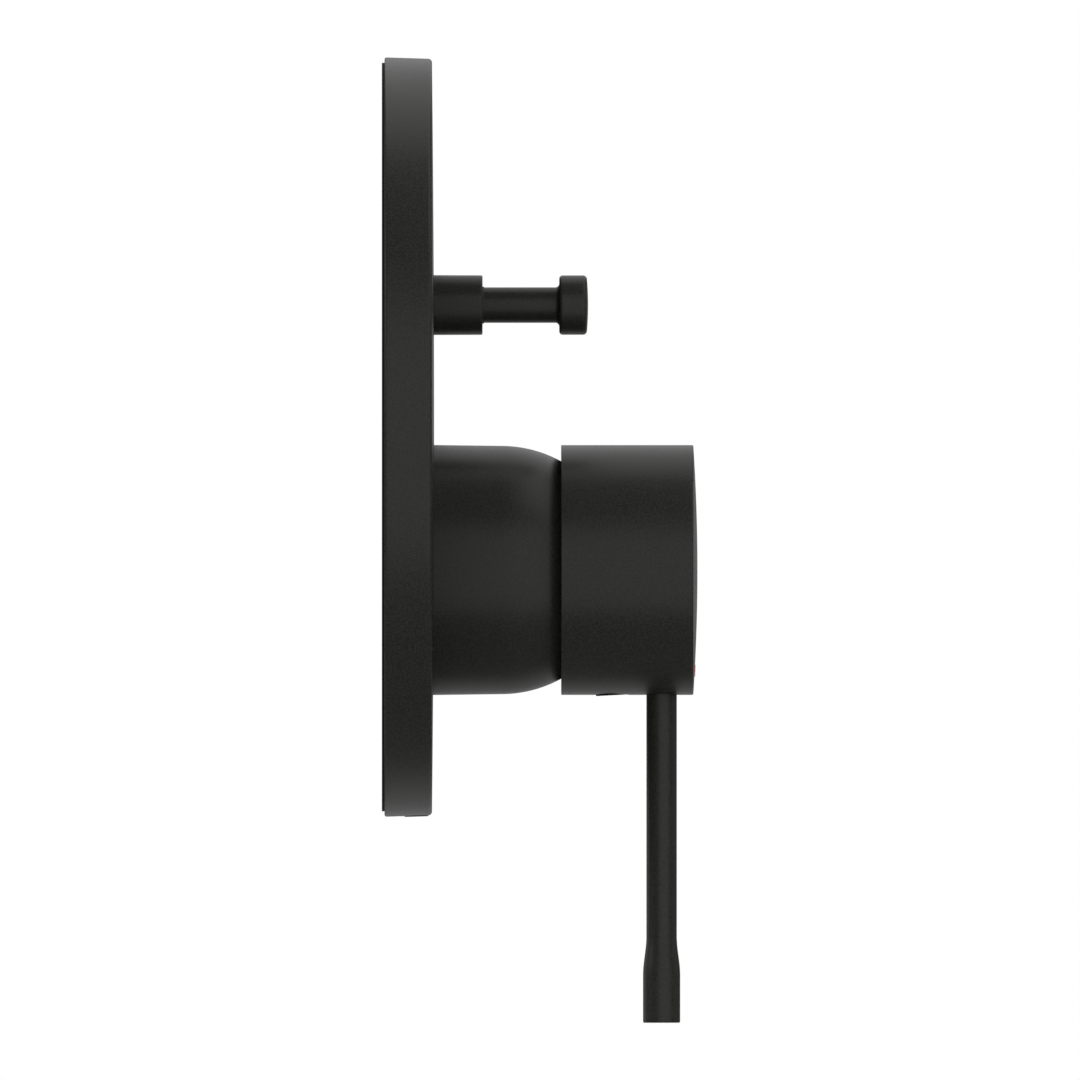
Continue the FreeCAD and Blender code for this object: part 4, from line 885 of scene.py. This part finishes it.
plug_hole = turn_piece("hole", [(0, 0), (PLUG_HOLE, 0), (PLUG_HOLE, 14.2), (PLUG_HOLE_MOUTH, 14.4),
                                (PLUG_HOLE_MOUTH, 20), (0, 20), (0, 0)],
                       "black_coating", screw_place(PLUG_HOLE_START), SMALL)
recess = [(MARK_INNER, MARK_FLOOR), (MARK_OUTER, MARK_FLOOR), (MARK_OUTER, PAST_FACE),
          (MARK_INNER, PAST_FACE), (MARK_INNER, MARK_FLOOR)]
square = (-SQUARE_HALF, SQUARE_HALF)
cap_tools = [box("spindle hole", square, square, (SQUARE_BACK, SQUARE_END)),
             rod(LEVER_RADIUS, LEVER_SEAT, 30, hanging(LEVER_DEPTH)),
             rod(THREAD_RADIUS, STUD_HOLE_START, 20, hanging(LEVER_DEPTH), TINY),
             rod(THREAD_RADIUS, 0, 14, screw_place(0), TINY),
             plug_hole]
for start in MARKS.values():
    cap_tools.append(turn_piece("recess", recess, "black_coating", out_of_wall(MIXER), 24, start,
                                MARK_SWEEP))
combine(cap, cap_tools)
stand_for(cap, "handle_cap")

# %% [markdown]
# The lever is a turned pin that hangs from the cap. It widens a little near its end in one soft
# S-shaped flare, which gives the thumb a stop. The flare's outline is a smooth blend between the two
# radii, and the end is flat with a small rounding.

# %% Lever
STUD_RADIUS, FLARE_RADIUS = 2.5, 3.865
STUD_END, SHOULDER, FLARE_START, FLARE_END, LEVER_END = 9.6, 19.0, 76.3, 84.2, 94.2
FLARE_STEPS = 12

flare = []
for step in range(FLARE_STEPS + 1):
    share = step / FLARE_STEPS
    eased = share * share * (3 - 2 * share)
    flare.append((LEVER_RADIUS + (FLARE_RADIUS - LEVER_RADIUS) * eased,
                  FLARE_START + (FLARE_END - FLARE_START) * share))
lever_points = rounded([(0, STUD_END), (STUD_RADIUS, STUD_END, 0.3), (STUD_RADIUS, SHOULDER),
                        (LEVER_RADIUS, SHOULDER, 0.1)] + flare
                       + [(FLARE_RADIUS, LEVER_END, 0.3), (0, LEVER_END)])
stand_for(turn_piece("lever", lever_points, "black_coating", hanging(LEVER_DEPTH), 72),
          "lever_rod")

# %% [markdown]
# The rubber plug under the cap is nearly black in the photograph. It leans with the screw's hole and
# stands a hair proud of the cap on its wall side.

# %% Plug
PLUG_RADIUS, PLUG_LENGTH, PLUG_START = 3.4, 3.6, 22.5
plug_points = rounded([(0, 0), (PLUG_RADIUS, 0, 0.2), (PLUG_RADIUS, PLUG_LENGTH, 0.25),
                       (0, PLUG_LENGTH)])
stand_for(turn_piece("hole_plug", plug_points, "plug_rubber", screw_place(PLUG_START), SMALL),
          "screw_plug")

# %% [markdown]
# Two curved marks are let into the face above the lever, red for hot on the left and blue for cold on
# the right. Each is the same turning with a short sweep, and its top follows the dome.

# %% Marks
MARK_PROUD = 0.14
mark_top = {radius: dome_depth(radius, CAP_RADIUS, CAP_RIM, CAP_RISE) + MARK_PROUD
            for radius in (MARK_INNER, MARK_OUTER)}
mark_points = rounded([(MARK_INNER, MARK_FLOOR), (MARK_OUTER, MARK_FLOOR),
                       (MARK_OUTER, mark_top[MARK_OUTER], 0.1),
                       (MARK_INNER, mark_top[MARK_INNER], 0.1)])
for name, start in MARKS.items():
    mark = turn_piece(name + "_inlay", mark_points, SLOT_OF[name], out_of_wall(MIXER), 32, start,
                      MARK_SWEEP)
    stand_for(mark, name)

# %% [markdown]
# Above the mixer is the diverter. A short collar stands on the plate, a hair narrower at its mouth,
# and in it sits the plastic bush that the knob's neck slides in. Only the bush's thin lip shows.

# %% Collar and bush
COLLAR_BORE, COLLAR_BACK, COLLAR_MOUTH = 5.0, 8.4, 20.95
collar_points = rounded([(COLLAR_BORE, COLLAR_BACK), (6.24, COLLAR_BACK),
                         (6.195, COLLAR_MOUTH, 0.32), (COLLAR_BORE, COLLAR_MOUTH, 0.1)])
stand_for(turn_piece("knob_collar", collar_points, "black_coating", out_of_wall(DIVERTER),
                     NARROW), "collar")

BUSH_BORE, BUSH_RADIUS, BUSH_BACK = 3.755, 4.97, 17.6
LIP_RADIUS, LIP_END = 3.84, 21.25
bush_points = rounded([(BUSH_BORE, BUSH_BACK), (BUSH_RADIUS, BUSH_BACK), (BUSH_RADIUS, 20.75),
                       (LIP_RADIUS + 0.06, 20.85), (LIP_RADIUS + 0.03, 21.05),
                       (LIP_RADIUS, LIP_END, 0.04), (BUSH_BORE, LIP_END)])
stand_for(turn_piece("neck_bush", bush_points, "bush_plastic", out_of_wall(DIVERTER),
                     NARROW), "diverter_bush")

# %% [markdown]
# Knob and neck are turned from one piece, with a soft flare where they meet, which is a quarter of a
# circle. The knob's face is a shallow dome. The neck's back end has the clip's groove outside and the
# stem's bore inside, so the outline runs along all of them.

# %% Knob
NECK, STEM_BORE, STEM_BORE_END = 3.695, 1.82, 14.02
NECK_BACK = 10.0
GROOVE, GROOVE_BACK, GROOVE_FRONT = 3.295, 10.43, 11.17
NECK_FLARE = 0.8
NECK_FLARE_STEPS = 8
KNOB_RADIUS, KNOB_BACK, KNOB_RIM, KNOB_RISE = 6.18, 36.9, 42.6, 0.32

neck_flare = []
for step in range(NECK_FLARE_STEPS + 1):
    angle = math.radians(90 * step / NECK_FLARE_STEPS)
    neck_flare.append((NECK + NECK_FLARE * (1 - math.cos(angle)),
                       KNOB_BACK - NECK_FLARE + NECK_FLARE * math.sin(angle)))
knob_points = rounded(
    [(STEM_BORE, NECK_BACK), (NECK, NECK_BACK, 0.1), (NECK, GROOVE_BACK), (GROOVE, GROOVE_BACK),
     (GROOVE, GROOVE_FRONT), (NECK, GROOVE_FRONT)] + neck_flare
    + [(KNOB_RADIUS, KNOB_BACK, 0.7), (KNOB_RADIUS, KNOB_RIM, 0.8)]
    + dome(KNOB_RADIUS, KNOB_RIM, KNOB_RISE, 6) + [(0, STEM_BORE_END), (STEM_BORE, STEM_BORE_END)])
stand_for(turn_piece("pull_knob", knob_points, "black_coating", out_of_wall(DIVERTER), NARROW),
          "diverter_knob")

# %% [markdown]
# A light spring round the neck, behind the bush, pulls the knob home. A wire that follows a coil is
# what Geometry Nodes do best: a spiral curve carries a small circle. When the knob is pulled, the clip
# on its neck presses the spring against the bush, so the coil has to get shorter. Here the coil keeps
# its length and rides on its CAD node's body.

# %% Return spring
COIL_TURNS = 4
COIL_RADIUS, WIRE_RADIUS = 4.32, 0.2
COIL_BACK, COIL_FRONT = 11.37, 17.38
STEPS_PER_TURN, WIRE_STEPS = 48, 16


def make_coil_tree():
    tree, given = open_tree("coiled wire", {"Turns": "Float", "Coil radius": "Float",
                                            "Wire radius": "Float", "Length": "Float"})
    radius = given["Coil radius"]
    line = tree.add("GeometryNodeCurveSpiral", {}, {
        "Resolution": STEPS_PER_TURN, "Rotations": given["Turns"], "Start Radius": radius,
        "End Radius": radius, "Height": given["Length"]})["Curve"]
    section = tree.add("GeometryNodeCurvePrimitiveCircle", {}, {
        "Resolution": WIRE_STEPS, "Radius": given["Wire radius"]})["Curve"]
    wire = tree.add("GeometryNodeCurveToMesh", {}, {"Curve": line, "Profile Curve": section,
                                                    "Fill Caps": True})["Mesh"]
    return close_tree(tree, given, wire)


COILING = make_coil_tree()
spring = bpy.data.objects.new("return_spring", bpy.data.meshes.new("return_spring"))
bpy.context.scene.collection.objects.link(spring)
grow(spring, COILING, {"Turns": COIL_TURNS, "Coil radius": COIL_RADIUS * MM,
                       "Wire radius": WIRE_RADIUS * MM, "Length": (COIL_FRONT - COIL_BACK) * MM,
                       "Finish": FINISHES["spring_steel"]})
settle(bake(spring), out_of_wall(DIVERTER) @ Matrix.Translation((0, 0, COIL_BACK * MM)))
stand_for(spring, "diverter_spring")

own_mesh(spring)

# %% [markdown]
# The grub screw in the plate's bottom rim shows only as a slight round bump. Seen from below it has
# the hexagon for the key. The hexagon is the same turning with six steps round.

# %% Rim screw
RIM_SCREW_RADIUS, RIM_SCREW_TIP, RIM_SCREW_END = 2.5, 71.05, 79.0
KEY_RADIUS, KEY_DEPTH = 1.6, 2.4
rim_screw = turn_piece("rim_screw", rounded([(0, RIM_SCREW_TIP),
                                             (RIM_SCREW_RADIUS, RIM_SCREW_TIP, 0.4),
                                             (RIM_SCREW_RADIUS, RIM_SCREW_END, 0.2),
                                             (0, RIM_SCREW_END)]),
                       "black_coating", rim_screw_place, SMALL)
key = rod(KEY_RADIUS, RIM_SCREW_END - KEY_DEPTH, 82, rim_screw_place, steps=6)
combine(rim_screw, [key])
stand_for(rim_screw, "plate_grub_screw")

# %% [markdown]
# Last, the imported model's box, from the start, in millimetres.

# %% Sizes and finish
print("cad   ", [round(value / MM, 2) for corner in cad_box for value in corner])
